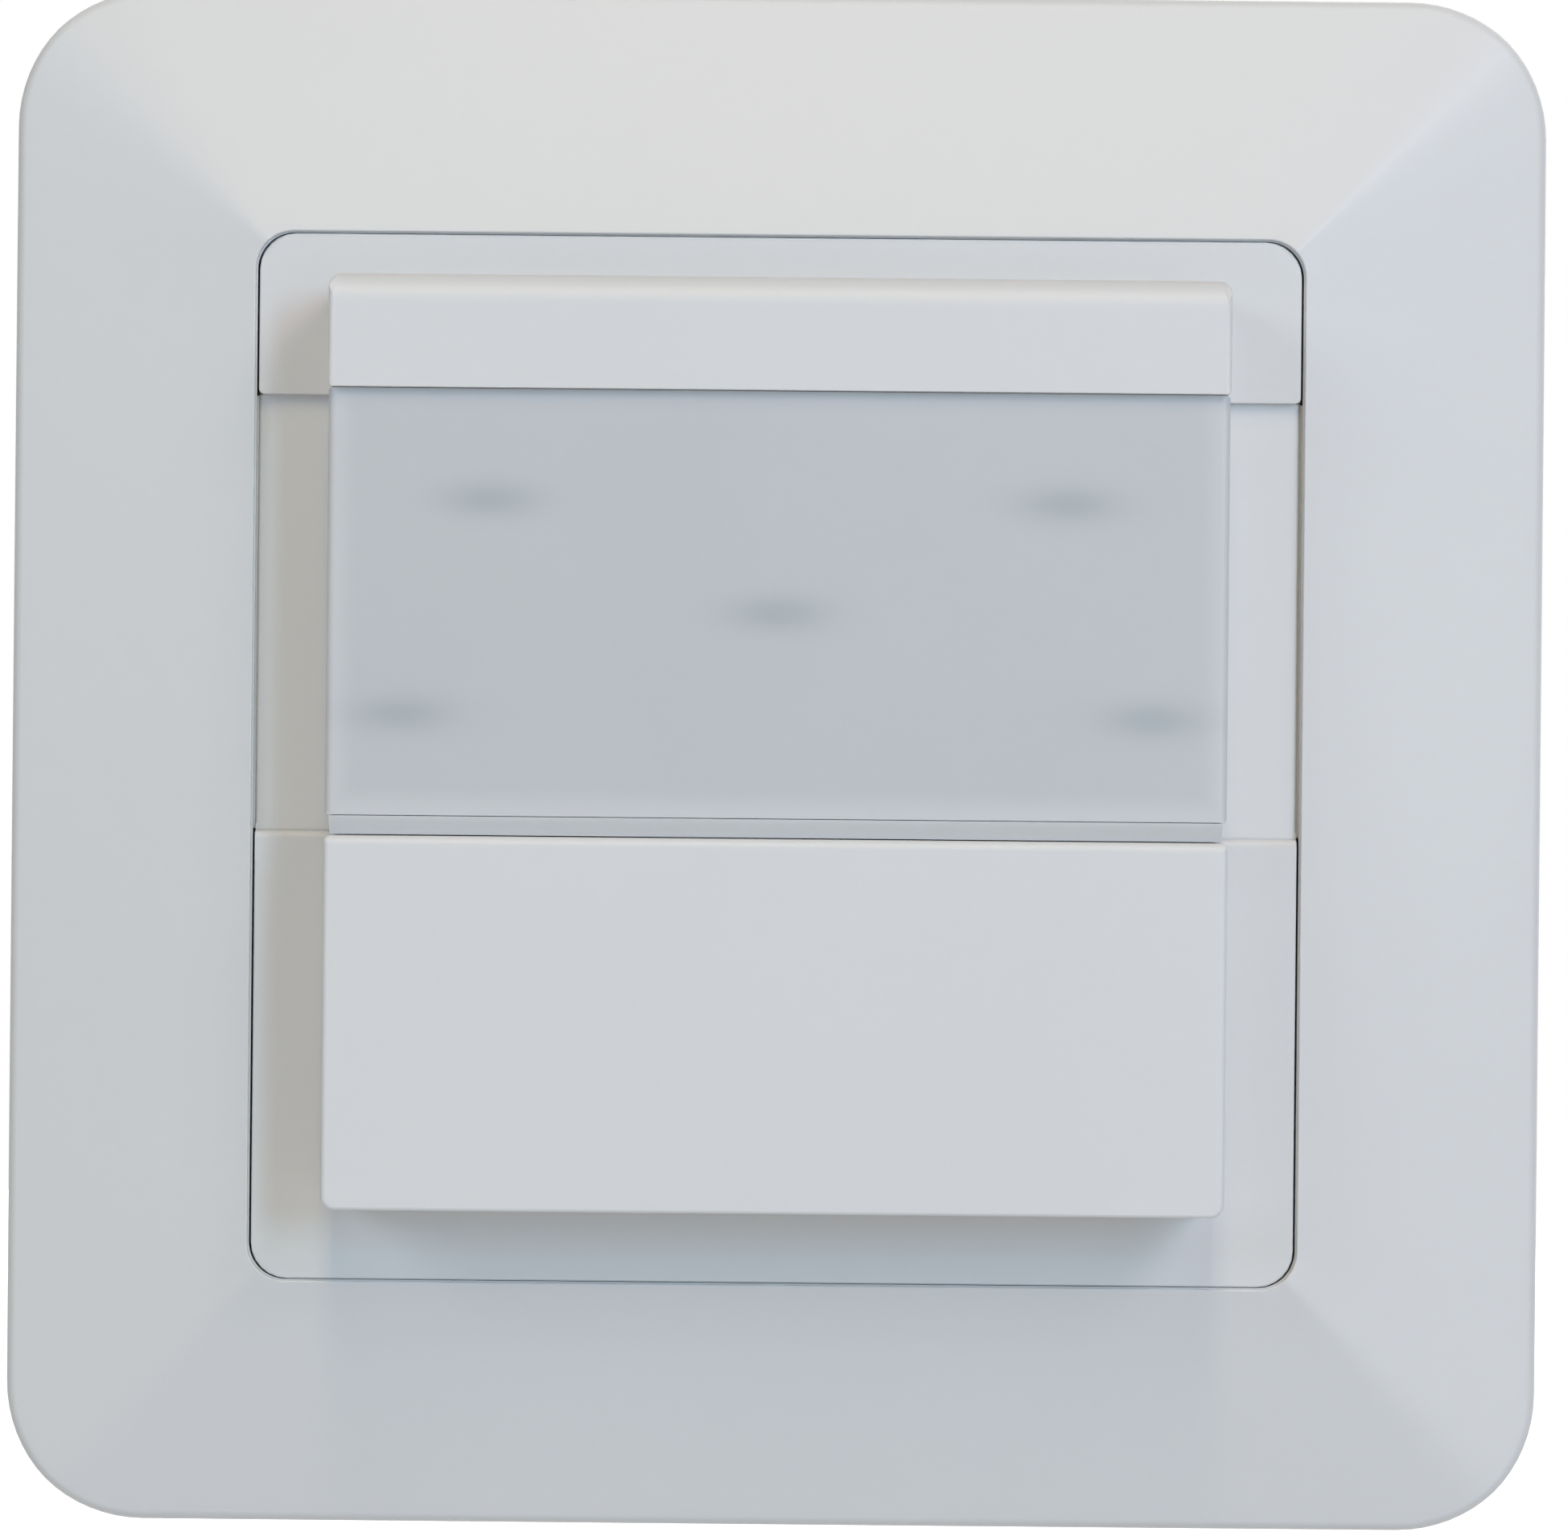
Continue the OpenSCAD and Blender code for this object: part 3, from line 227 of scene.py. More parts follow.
def dress(piece, node):
    piece.data.materials.clear()
    piece.data.materials.append(slotFinish[slotOf[node]])
    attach(piece, bodyOf[node])
    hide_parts(node)
    print("made", piece.name, len(piece.data.polygons), "faces")


# shader tools

class Wire:
    def __init__(self, tree, socket=None):
        self.tree = tree
        self.socket = socket

    def put(self, kind, settings=None, sockets=None, out=0):
        node = self.tree.nodes.new(kind)
        for key, value in (settings or {}).items():
            setattr(node, key, value)
        for key, value in (sockets or {}).items():
            if isinstance(value, Wire):
                self.tree.links.new(value.socket, node.inputs[key])
            else:
                node.inputs[key].default_value = value
        return Wire(self.tree, node.outputs[out])

    def join(self, *others):
        made = self.put("GeometryNodeJoinGeometry")
        for wire in (self, *others):
            self.tree.links.new(wire.socket, made.socket.node.inputs[0])
        return made

    def maths(self, operation, *values):
        return self.put("ShaderNodeMath", {"operation": operation}, dict(enumerate(values)))

    def __add__(self, other):
        return self.maths("ADD", self, other)

    def __radd__(self, other):
        return self.maths("ADD", other, self)

    def __sub__(self, other):
        return self.maths("SUBTRACT", self, other)

    def __rsub__(self, other):
        return self.maths("SUBTRACT", other, self)

    def __mul__(self, other):
        return self.maths("MULTIPLY", self, other)

    def __rmul__(self, other):
        return self.maths("MULTIPLY", other, self)

    def __truediv__(self, other):
        return self.maths("DIVIDE", self, other)

    def noise(self, scale, detail=3, rough=0.5, squeeze=(1, 1, 1)):
        place = self.put("ShaderNodeTexCoord", out=3)
        turn = self.put("ShaderNodeMapping", None, {"Vector": place, "Scale": squeeze})
        sockets = {"Vector": turn, "Scale": scale, "Detail": detail, "Roughness": rough}
        return self.put("ShaderNodeTexNoise", None, sockets)

    def ramp(self, low, high):  # 0 to 1 between two levels
        sockets = {"Value": self, "From Min": low, "From Max": high}
        return self.put("ShaderNodeMapRange", {"interpolation_type": "SMOOTHSTEP"}, sockets)

    def blend(self, first, second):
        sockets = {"Factor": self, "A": tint(first), "B": tint(second)}
        return self.put("ShaderNodeMix", {"data_type": "RGBA"}, mixSockets(sockets), out=2)


def tint(colour):
    return colour if isinstance(colour, Wire) else (*colour, 1)


def seenBy(wire, *kinds):  # 1 for the kinds of ray that are named
    rays = wire.put("ShaderNodeLightPath").socket.node.outputs
    seen, *others = (Wire(wire.tree, rays[f"Is {kind} Ray"]) for kind in kinds)
    for other in others:
        seen = wire.maths("MAXIMUM", seen, other)
    return seen


def mixSockets(sockets):  # the colour sockets of a Mix node come sixth and seventh
    return {0: sockets["Factor"], 6: sockets["A"], 7: sockets["B"]}


def newFinish(name, plain, build):
    material = bpy.data.materials.new(name)
    material.use_nodes = True
    tree = material.node_tree
    tree.nodes.clear()
    shader = tree.nodes.new("ShaderNodeBsdfPrincipled")
    end = tree.nodes.new("ShaderNodeOutputMaterial")
    tree.links.new(shader.outputs[0], end.inputs[0])
    for key, value in plain.items():
        shader.inputs[key].default_value = value
    for key, value in build(Wire(tree)).items():
        tree.links.new(value.socket, shader.inputs[key])
    return material


def grain(wire, height, strength, distance):
    sockets = {"Strength": strength, "Distance": distance * mm, "Height": height}
    return wire.put("ShaderNodeBump", None, sockets)


cloudLevels = (0.25, 0.75)


def mouldedPlastic(name, colour, shade, rough, cloud=45, grainScale=5200, grainDepth=0.006):
    def build(wire):
        drift = wire.noise(cloud, 4)
        fine = wire.noise(grainScale, 2)
        return {
            "Base Color": drift.ramp(*cloudLevels).blend(shade, colour),
            "Roughness": drift * 0.08 + (rough - 0.04) + fine * 0.05,
            "Normal": grain(wire, fine, 0.35, grainDepth),
        }
    return newFinish(name, {"IOR": 1.47}, build)


def metalSheet(name, colour, shade, rough, squeeze=(1, 1, 1), scale=900, depth=0.004):
    def build(wire):
        drift = wire.noise(160, 4)
        brush = wire.noise(scale, 3, 0.6, squeeze)
        return {
            "Base Color": (drift * 0.6 + brush * 0.4).ramp(0.3, 0.7).blend(shade, colour),
            "Roughness": brush * 0.16 + (rough - 0.08),
            "Normal": grain(wire, brush, 0.3, depth),
        }
    return newFinish(name, {"Metallic": 1.0}, build)


# finishes

plastics = {
    "white_plastic": {"colour": (0.700, 0.705, 0.712), "shade": (0.688, 0.693, 0.702), "rough": 0.42},
    "back_plastic": {"colour": (0.60, 0.61, 0.61), "shade": (0.57, 0.58, 0.585), "rough": 0.48},
    "housing_plastic": {"colour": (0.125, 0.130, 0.136), "shade": (0.100, 0.105, 0.110), "rough": 0.50,
                        "grainScale": 3200, "grainDepth": 0.02},
    "terminal_plastic": {"colour": (0.30, 0.31, 0.315), "shade": (0.26, 0.27, 0.278), "rough": 0.46},
    "black_plastic": {"colour": (0.030, 0.031, 0.033), "shade": (0.022, 0.023, 0.025), "rough": 0.44},
    "cream_plastic": {"colour": (0.72, 0.66, 0.50), "shade": (0.66, 0.60, 0.44), "rough": 0.40},
    "blue_plastic": {"colour": (0.045, 0.130, 0.42), "shade": (0.035, 0.105, 0.36), "rough": 0.38},
    "relay_plastic": {"colour": (0.055, 0.060, 0.068), "shade": (0.042, 0.046, 0.053), "rough": 0.34},
    "yellow_plastic": {"colour": (0.70, 0.48, 0.07), "shade": (0.63, 0.42, 0.05), "rough": 0.42},
    "sleeve_plastic": {"colour": (0.030, 0.045, 0.085), "shade": (0.022, 0.034, 0.066), "rough": 0.28},
    "fuse_plastic": {"colour": (0.20, 0.085, 0.045), "shade": (0.16, 0.066, 0.034), "rough": 0.40},
}
metals = {
    "zinc_steel": {"colour": (0.50, 0.51, 0.525), "shade": (0.39, 0.405, 0.425), "rough": 0.36},
    "bright_steel": {"colour": (0.60, 0.60, 0.595), "shade": (0.50, 0.50, 0.50), "rough": 0.26},
    "contact_brass": {"colour": (0.78, 0.60, 0.32), "shade": (0.66, 0.48, 0.22), "rough": 0.32},
}
lensLook = {
    "colour": (0.540, 0.555, 0.575), "shade": (0.524, 0.541, 0.563), "rough": 0.50,
    # painted light: the lens turns lighter towards its side edges and its lower edge, for light that the
    # milky plastic carries to its edges
    "paintedEdgeLight": (0.60, 0.61, 0.63), "edgeLightFrom": 21.4, "edgeLightTo": 23.1, "footFrom": -1.4, "footTo": -2.9,
    "spotColour": (0.405, 0.445, 0.470), "spotWide": 2.6, "spotTall": 0.95, "spotDepth": 0.9,
    "spots": ((0, 7.5), (-14.8, 13.2), (14.8, 13.2), (-19.2, 2.2), (19.2, 2.2)),
    "cloud": 60, "grainScale": 4200, "grainDepth": 0.005,
}
boardLook = {
    "mask": (0.010, 0.085, 0.040), "track": (0.025, 0.150, 0.075), "pad": (0.62, 0.60, 0.55),
    "trackPitch": 1.6, "padPitch": 2.54, "padRadius": 0.6, "padCore": 0.5, "rough": 0.30,
    "patch": 130, "padPatch": 90, "grainScale": 2600, "grainDepth": 0.03,
}
resins = {
    "clear_resin": {"colour": (0.90, 0.93, 0.95), "shade": (0.84, 0.88, 0.92), "through": 0.85},
    "red_resin": {"colour": (0.62, 0.025, 0.020), "shade": (0.50, 0.015, 0.012), "through": 0.45},
    "dark_window": {"colour": (0.022, 0.020, 0.026), "shade": (0.014, 0.013, 0.018), "through": 0.0},
}


def axesOf(wire):
    place = wire.put("ShaderNodeTexCoord", out=3)
    axes = wire.put("ShaderNodeSeparateXYZ", None, {0: place}).socket.node.outputs
    return [Wire(wire.tree, socket) for socket in axes]


def milkyLens(wire):
    look = lensLook
    x, y, up = axesOf(wire)
    total = 0
    for sx, su in look["spots"]:
        dx = (x - sx * mm) / (look["spotWide"] * mm)
        du = (up - su * mm) / (look["spotTall"] * mm)
        total = wire.maths("EXPONENT", (dx * dx + du * du) * -1) + total
    drift = wire.noise(look["cloud"], 4)
    fine = wire.noise(look["grainScale"], 2)
    body = drift.ramp(*cloudLevels).blend(look["shade"], look["colour"])
    # painted light: lighter towards the side edges and the lower edge
    edge = wire.maths("ABSOLUTE", x).ramp(look["edgeLightFrom"] * mm, look["edgeLightTo"] * mm)
    edge = wire.maths("MAXIMUM", edge, up.ramp(look["footFrom"] * mm, look["footTo"] * mm))
    body = edge.blend(body, look["paintedEdgeLight"])
    return {
        "Base Color": (total * look["spotDepth"]).blend(body, look["spotColour"]),
        "Roughness": drift * 0.08 + (look["rough"] - 0.04),
        "Normal": grain(wire, fine, 0.3, look["grainDepth"]),
    }


def laminate(wire):  # tracks under the green mask, and tinned pads
    look = boardLook
    x, y, up = axesOf(wire)
    pick = wire.noise(look["patch"], 1).ramp(0.47, 0.53)
    half = look["trackPitch"] / 2 * mm
    across = wire.maths("PINGPONG", x, half) / half
    along = wire.maths("PINGPONG", up, half) / half
    track = (pick * across + (1 - pick) * along).ramp(0.50, 0.58)
    half = look["padPitch"] / 2 * mm
    dx = wire.maths("PINGPONG", x, half)
    du = wire.maths("PINGPONG", up, half)
    pad = (dx * dx + du * du).ramp((look["padRadius"] * mm) ** 2, (look["padCore"] * mm) ** 2)
    pad = pad * wire.noise(look["padPatch"], 1).ramp(0.55, 0.58)
    fine = wire.noise(look["grainScale"], 3)
    return {
        "Base Color": pad.blend(track.blend(look["mask"], look["track"]), look["pad"]),
        "Metallic": pad * 0.9,
        "Roughness": fine * 0.12 + (look["rough"] - 0.06),
        "Normal": grain(wire, track * 0.5 + pad * 0.5 + fine * 0.1, 0.4, look["grainDepth"]),
    }


def castResin(name, colour, shade, through):
    def build(wire):
        drift = wire.noise(300, 3)
        return {
            "Base Color": drift.ramp(*cloudLevels).blend(shade, colour),
            "Roughness": drift * 0.06 + 0.08,
        }
    return newFinish(name, {"IOR": 1.53, "Transmission Weight": through, "Coat Weight": 0.3}, build)


slotFinish = {name: mouldedPlastic(name, **look) for name, look in plastics.items()}
slotFinish.update({name: metalSheet(name, **look) for name, look in metals.items()})
slotFinish.update({name: castResin(name, **look) for name, look in resins.items()})
slotFinish["lens_plastic"] = newFinish("lens_plastic", {"IOR": 1.49}, milkyLens)
slotFinish["board_laminate"] = newFinish("board_laminate", {"IOR": 1.5}, laminate)
print("finishes made:", len(slotFinish))


# cover frame

frameBox = reach("cover_frame")
frameSizes = {
    "half": frameBox["x1"], "corner": 7.3,
    "openHalf": 27.48, "openCorner": 2.0,
    "rim": 6.0, "edge": frameBox["top"], "wall": 1.8,
    "rimRound": 0.8, "edgeRound": 0.08, "footRound": 0.25, "mitreSoft": 3.2,
    "toe": 0.07, "toeTop": 10.08, "toeLow": 9.75, "toeFall": 0.12, "sleeveHalf": 27.6, "sleeveCorner": 1.7,
    "lipHalf": 25.5, "lipLow": 3.2, "lipTop": 4.2,
    "ribAt": 18.0, "ribThick": 1.2, "ribLap": 0.5, "ribDrop": 0.9,
    "arc": 16, "side": 8, "roundSteps": 6, "faceSteps": 12, "smooth": 38,
}


def squareLoop(half, corner, arc, side):  # points and outward directions round a rounded square
    loop = []
    for k in range(4):
        a0 = k * pi / 2
        away = (half - corner) * sqrt(2)
        centre = (away * cos(a0 + pi / 4), away * sin(a0 + pi / 4))
        for i in range(arc + 1):
            a = a0 + pi / 2 * i / arc
            loop.append((centre[0] + corner * cos(a), centre[1] + corner * sin(a), cos(a), sin(a)))
        nx = cos(a0 + pi / 2)
        nu = sin(a0 + pi / 2)
        for i in range(1, side):
            run = (half - corner) * (1 - 2 * i / side)
            loop.append((half * nx + run * nu, half * nu - run * nx, nx, nu))
    return loop


def makeFrame(d):
    slope = atan((d["edge"] - d["rim"]) / (d["half"] - d["openHalf"]))

    def face(x, u):  # height of the falling faces, which meet more softly towards the rim
        a = abs(x)
        b = abs(u)
        soft = d["mitreSoft"] * max(max(a, b) - d["openHalf"], 0) / (d["half"] - d["openHalf"])
        far = (a + b + sqrt((a - b) ** 2 + soft * soft)) / 2
        return d["rim"] + (d["half"] - far) * tan(slope)

    def outline(half, corner):
        return squareLoop(half, corner, d["arc"], d["side"])

    def inset(loop, amount):
        return [(x - nx * amount, u - nu * amount) for x, u, nx, nu in loop]

    def level(loop, amount, out):
        return [spot(x, u, out) for x, u in inset(loop, amount)]

    outer = outline(d["half"], d["corner"])
    opening = outline(d["openHalf"], d["openCorner"])
    hollow = outline(d["half"] - d["wall"], d["corner"] - d["wall"])
    sleeve = outline(d["openHalf"] + d["wall"], d["openCorner"] + d["wall"])
    inside = outline(d["sleeveHalf"], d["sleeveCorner"])
    lip = outline(d["lipHalf"], d["openCorner"])
    loops = [level(outer, d["footRound"], 0), level(outer, 0, d["footRound"])]
    r = d["rimRound"]
    top = pi / 2 - slope
    rimEnd = inset(outer, r * (1 - cos(top)))
    for i in range(d["roundSteps"] + 1):
        a = top * i / d["roundSteps"]
        ring = inset(outer, r * (1 - cos(a)))
        loops.append([spot(*p, face(*q) - r * (sin(top) - sin(a))) for p, q in zip(ring, rimEnd)])
    r = d["edgeRound"]
    edgeStart = inset(opening, -r * (1 + sin(slope)))
    for i in range(1, d["faceSteps"]):
        t = i / d["faceSteps"]
        ring = [(p[0] + (q[0] - p[0]) * t, p[1] + (q[1] - p[1]) * t) for p, q in zip(rimEnd, edgeStart)]
        loops.append([spot(*p, face(*p)) for p in ring])
    for i in range(d["roundSteps"] + 1):
        a = (pi / 2 + slope) * (1 - i / d["roundSteps"])
        ring = inset(opening, -r * (1 - cos(a)))
        loops.append([spot(*p, face(*q) - r * cos(slope) + r * sin(a)) for p, q in zip(ring, edgeStart)])
    under = d["wall"] / cos(slope)
    loops += [
        level(opening, 0, d["toeTop"]), level(opening, d["toe"], d["toeTop"]),
        level(opening, d["toe"], d["toeLow"]), level(inside, 0, d["toeLow"] - d["toeFall"]),
        level(inside, 0, d["lipTop"]), level(lip, 0, d["lipTop"]),
        level(lip, 0, d["lipLow"]), level(sleeve, 0, d["lipLow"]),
        [spot(*p, face(*p) - under) for p in inset(sleeve, 0)],
        [spot(*p, face(*p) - under) for p in inset(hollow, 0)],
        level(hollow, 0, d["footRound"]), level(hollow, -d["footRound"], 0),
    ]
    bm = bmesh.new()
    skin(bm, loops, around=True)
    piece = makePiece("coverFrame", bm)
    near = d["openHalf"] + d["wall"] - d["ribLap"]
    far = d["half"] - d["wall"] + d["ribLap"]
    row = ((near, d["lipLow"]), (far, d["lipLow"]),
           (far, face(far, 0) - d["ribDrop"]), (near, face(near, 0) - d["ribDrop"]))
    ribs = []
    for qx, qu in ((1, 0), (0, 1), (-1, 0), (0, -1)):
        for at in (-d["ribAt"], d["ribAt"]):
            sides = (at - d["ribThick"] / 2, at + d["ribThick"] / 2)
            rib = bmesh.new()
            skin(rib, [[spot(qx * p - qu * side, qu * p + qx * side, h) for p, h in row] for side in sides])
            ribs.append(makePiece("rib", rib))
    combine(piece, ribs, "UNION")
    return smoothFaces(piece, d["smooth"])


dress(makeFrame(frameSizes), "cover_frame")


# hood over the lens

hoodBox = reach("hood")
hoodSizes = {
    "half": hoodBox["x1"] - 0.2, "high": hoodBox["u1"] - 0.12, "low": hoodBox["u0"],
    "under": 8.2, "margin": 10.2, "corner": 1.9, "edgeRound": 0.12, "seamRound": 0.08,
    "blockHalf": 23.1, "blockHigh": 24.8, "front": hoodBox["top"],
    "sideRound": 0.3, "topRound": 1.6, "lipRound": 0.04, "upperCorner": 0.7, "lowerCorner": 0.2, "shell": 1.5,
    "seamCorner": 0.3, "blockSink": 0.4, "blockSteps": 10,
    "clip": (24.4, 25.6), "clipUp": (21.3, 25.1), "clipLow": 7.1, "clipRoot": 0.5,
    "barb": 26.3, "barbLap": 0.4, "barbThick": 0.6, "clipRound": 0.1, "clipCorner": 0.2,
    "reliefHigh": 25.8, "reliefTop": 9.2,
}


def makeHood(d):
    plate = softBlock(
        "hood", (-d["half"], d["half"], d["low"] + hair, d["high"]), d["under"], d["margin"],
        (d["edgeRound"], d["edgeRound"], d["edgeRound"], d["seamRound"]),
        (d["corner"], d["corner"], d["seamCorner"], d["seamCorner"]))
    block = softBlock(
        "block", (-d["blockHalf"], d["blockHalf"], d["low"], d["blockHigh"]),
        d["under"] + d["blockSink"], d["front"],
        (d["sideRound"], d["topRound"], d["sideRound"], d["lipRound"]),
        (d["upperCorner"], d["upperCorner"], d["lowerCorner"], d["lowerCorner"]), d["blockSteps"])
    combine(plate, [block], "UNION")
    s = d["shell"]
    inner = d["blockHalf"] - s
    floor = d["under"] - past
    cavity = cutBlock((-inner, inner, d["low"] + s, d["blockHigh"] - s), floor, d["front"] - s)
    relief = cutBlock((-inner, inner, d["low"] - past, d["reliefHigh"]), floor, d["reliefTop"])
    combine(plate, [cavity, relief], "DIFFERENCE")
    near, far = d["clip"]
    low = d["clipLow"]
    shapes = ((near, far, low, d["under"] + d["clipRoot"]),
              (far - d["barbLap"], d["barb"], low + hair, low + d["barbThick"]))
    clips = [softBlock("clip", (*pair(side, x0, x1), *d["clipUp"]), base, top,
                       even(d["clipRound"]), even(d["clipCorner"]), 2, 2)
             for side in (-1, 1) for x0, x1, base, top in shapes]
    combine(plate, clips, "UNION")
    plate.name = "hoodCover"
    return smoothFaces(plate)


dress(makeHood(hoodSizes), "hood")


# milky lens cap with its lenslets

lensBox = reach("fresnel_lens")
lensSizes = {
    "half": 23.1, "low": lensBox["u0"], "high": hoodBox["u0"] - hair,
    "base": lensBox["low"], "front": lensBox["top"], "wall": 1.0,
    "sideRound": 0.45, "lowRound": 0.04, "highRound": 0.03, "corner": 0.2,
    "foot": lensBox["x1"], "footHigh": 16.7, "footTop": 7.7, "footRound": 0.15, "footCorner": 0.3,
    "innerRounds": (1.0, 0.1, 1.0, 0.2),
    "lensletBall": 8.0, "lensletDeep": 0.6, "lensletReach": 18.7, "lensletRoot": 0.2, "lensletSteps": 7,
}


def makeLens(d):
    cap = softBlock(
        "lensCap", (-d["half"], d["half"], d["low"], d["high"]), d["base"], d["front"],
        (d["sideRound"], d["highRound"], d["sideRound"], d["lowRound"]), even(d["corner"]))
    feet = softBlock(
        "feet", (-d["foot"], d["foot"], d["low"] + hair, d["footHigh"]), d["base"] + hair, d["footTop"],
        even(d["footRound"]), even(d["footCorner"]), 3, 3)
    combine(cap, [feet], "UNION")
    w = d["wall"]
    inside = d["front"] - w
    hollow = softBlock(
        "hollow", (w - d["half"], d["half"] - w, d["low"] + w, d["high"] - w), d["base"] - past, inside,
        d["innerRounds"], even(d["corner"]), 4, 2)
    combine(cap, [hollow], "DIFFERENCE")
    ball = d["lensletBall"]
    deep = d["lensletDeep"]
    rim = sqrt(ball * ball - (ball - deep) ** 2)
    profile = [(rim, inside + d["lensletRoot"])]
    for i in range(d["lensletSteps"]):
        radius = rim * (1 - i / (d["lensletSteps"] - 0.5))
        profile.append((radius, inside + ball - deep - sqrt(ball * ball - radius * radius)))
    domes = []
    for x, up in lensLook["spots"]:
        x = max(min(x, d["lensletReach"]), -d["lensletReach"])
        domes.append(turned(profile, x, up, 28))
    combine(cap, domes, "UNION")
    return smoothFaces(cap)


dress(makeLens(lensSizes), "fresnel_lens")


# push key

keyBox = reach("push_key")
keySizes = {
    "half": keyBox["x1"] - 0.2, "low": keyBox["u0"] + 0.12, "top": keyBox["u1"],
    "under": keyBox["low"], "margin": 10.2, "corner": 1.9, "edgeRound": 0.12, "upperEdge": 0.4,
    "seamCorner": 0.3, "blockSink": 0.3,
    "brow": 0.12, "browLow": 9.76, "browDeep": 1.5, "browLap": 0.5, "browRound": 0.05, "browCorner": 0.1,
    "blockHalf": 23.1, "blockLow": -23.2, "front": keyBox["top"],
    "sideRound": 0.3, "topRound": 0.5, "lowRound": 0.2, "upperCorner": 0.3, "lowerCorner": 0.7, "shell": 1.5,
    "actuatorUp": -11.45, "actuatorTip": 13.85, "actuatorRadius": 1.2, "actuatorSteps": 6.4,
    "pilotUp": -17.9, "pilotLow": 14.1, "pilotRadius": 1.5, "pilotChamfer": 0.3, "postRoot": 0.3,
    "trunnionUp": -7.85, "trunnionOut": 10.4, "trunnionRadius": 1.0, "trunnionFrom": 18.8,
    "trunnionRoot": 0.5,
}


def makeKey(d):
    key = softBlock(
        "pushKey", (-d["half"], d["half"], d["low"], d["top"] - hair), d["under"], d["margin"],
        (d["edgeRound"], d["upperEdge"], d["edgeRound"], d["edgeRound"]),
        (d["seamCorner"], d["seamCorner"], d["corner"], d["corner"]))
    block = softBlock(
        "block", (-d["blockHalf"], d["blockHalf"], d["blockLow"], d["top"]),
        d["under"] + d["blockSink"], d["front"],
        (d["sideRound"], d["topRound"], d["sideRound"], d["lowRound"]),
        (d["upperCorner"], d["upperCorner"], d["lowerCorner"], d["lowerCorner"]))
    brows = []
    for side in (-1, 1):  # they reach over the ends of the margins beside the lens
        ends = pair(side, d["blockHalf"] - d["browLap"], d["half"] - hair / 2)
        brows.append(softBlock(
            "brow", (*ends, d["top"] - d["browDeep"], d["top"] + d["brow"]),
            d["browLow"], d["margin"] - hair / 10,
            (d["browRound"], d["upperEdge"], d["browRound"], hair), even(d["browCorner"])))
    combine(key, [block, *brows], "UNION")
    s = d["shell"]
    inner = d["blockHalf"] - s
    inside = d["front"] - s
    room = cutBlock((-inner, inner, d["blockLow"] + s, d["top"] - s), d["under"] - past, inside)
    combine(key, [room], "DIFFERENCE")
    root = inside + d["postRoot"]
    r = d["actuatorRadius"]
    arc = [pi / 2 * i / d["actuatorSteps"] for i in range(7)]
    dome = [(r, root), *((r * cos(a), d["actuatorTip"] + r * (1 - sin(a))) for a in arc)]
    r = d["pilotRadius"]
    c = d["pilotChamfer"]
    pilot = [(r, root), (r, d["pilotLow"] + c), (r - c, d["pilotLow"])]
    posts = [turned(dome, 0, d["actuatorUp"]), turned(pilot, 0, d["pilotUp"])]
    for side in (-1, 1):
        ends = pair(side, d["trunnionFrom"], inner + d["trunnionRoot"])
        posts.append(crossPin(d["trunnionUp"], d["trunnionOut"], d["trunnionRadius"], *ends))
    combine(key, posts, "UNION")
    return smoothFaces(key)


dress(makeKey(keySizes), "push_key")


# carrier of the head, which shows beside the lens

carrierSizes = {
    "half": 27.5, "corner": 1.6, "low": 5.4, "deck": 6.8, "deckRound": 0.2, "root": 0.4,
    "window": (-18.8, 18.8, -21.4, 23.3),
    "hoodLow": 18.9, "hoodUnder": 8.2, "wall": 1.6, "wallSink": 0.3, "wallRound": 0.15, "wallCorner": 0.2,
    "stripFrom": 23.3, "stripTo": 27.33, "stripLow": -3.85, "stripHigh": hoodBox["u0"] + hair,
    "stripUnder": 7.85, "stripTop": 9.7, "stripRound": 0.2, "stripInner": 0.12, "stripCorner": 0.05,
    "legDrop": 0.6, "shelfTo": 27.5, "shelfTop": 9.5,
    "earFrom": 19.2, "earTo": 21.2, "earRadius": 1.9, "bore": 1.05, "pivotUp": -7.85, "pivotOut": 10.4,
    "stopUp": -4.05, "stopOut": 8.5,
    "webLow": -3.75, "webHigh": lensBox["u0"] - hair, "webHalf": 22.9, "webTop": 15.2,
    "webSink": 0.5, "webRound": 0.1, "overBoard": 8.2,
    "lipLow": keyBox["u1"] + 0.06, "lipOut": 13.2,
    "lipFall": ((0, 0.06), (0.3, 0.22), (0.65, 0.55), (1, 0.75)),
    "toe": ((keyBox["u1"] + 0.05, 9.69), (keyBox["u1"] + 0.14, 8.6)), "toeDeep": 0.3,
}
# the white plastic made slightly lighter, as painted light that lifts the shade on the margins beside the
# lens
carrierPaintedLightLook = {"colour": (0.735, 0.738, 0.742), "shade": (0.722, 0.726, 0.731), "rough": 0.42}


def makeWeb(d):  # keeps light in the key's room from the lens
    web = softBlock(
        "web", (-d["webHalf"], d["webHalf"], d["webLow"], d["webHigh"]), d["low"] + d["webSink"], d["webTop"],
        even(d["webRound"]), even(d["webRound"]), 2, 2)
    left, right = d["window"][:2]
    bottom = cutBlock((left, right, d["webLow"] - past, d["webHigh"] + past), d["low"], d["overBoard"])
    combine(web, [bottom], "DIFFERENCE")
    near = d["webHigh"] - hair / 2
    fall = [(near + (d["lipLow"] - near) * across, lensBox["top"] - drop) for across, drop in d["lipFall"]]
    lip = [(near, d["lipOut"]), *fall, (d["lipLow"], d["lipOut"])]
    return combine(web, [sideBar(lip, hair - d["webHalf"], d["webHalf"] - hair)], "UNION")


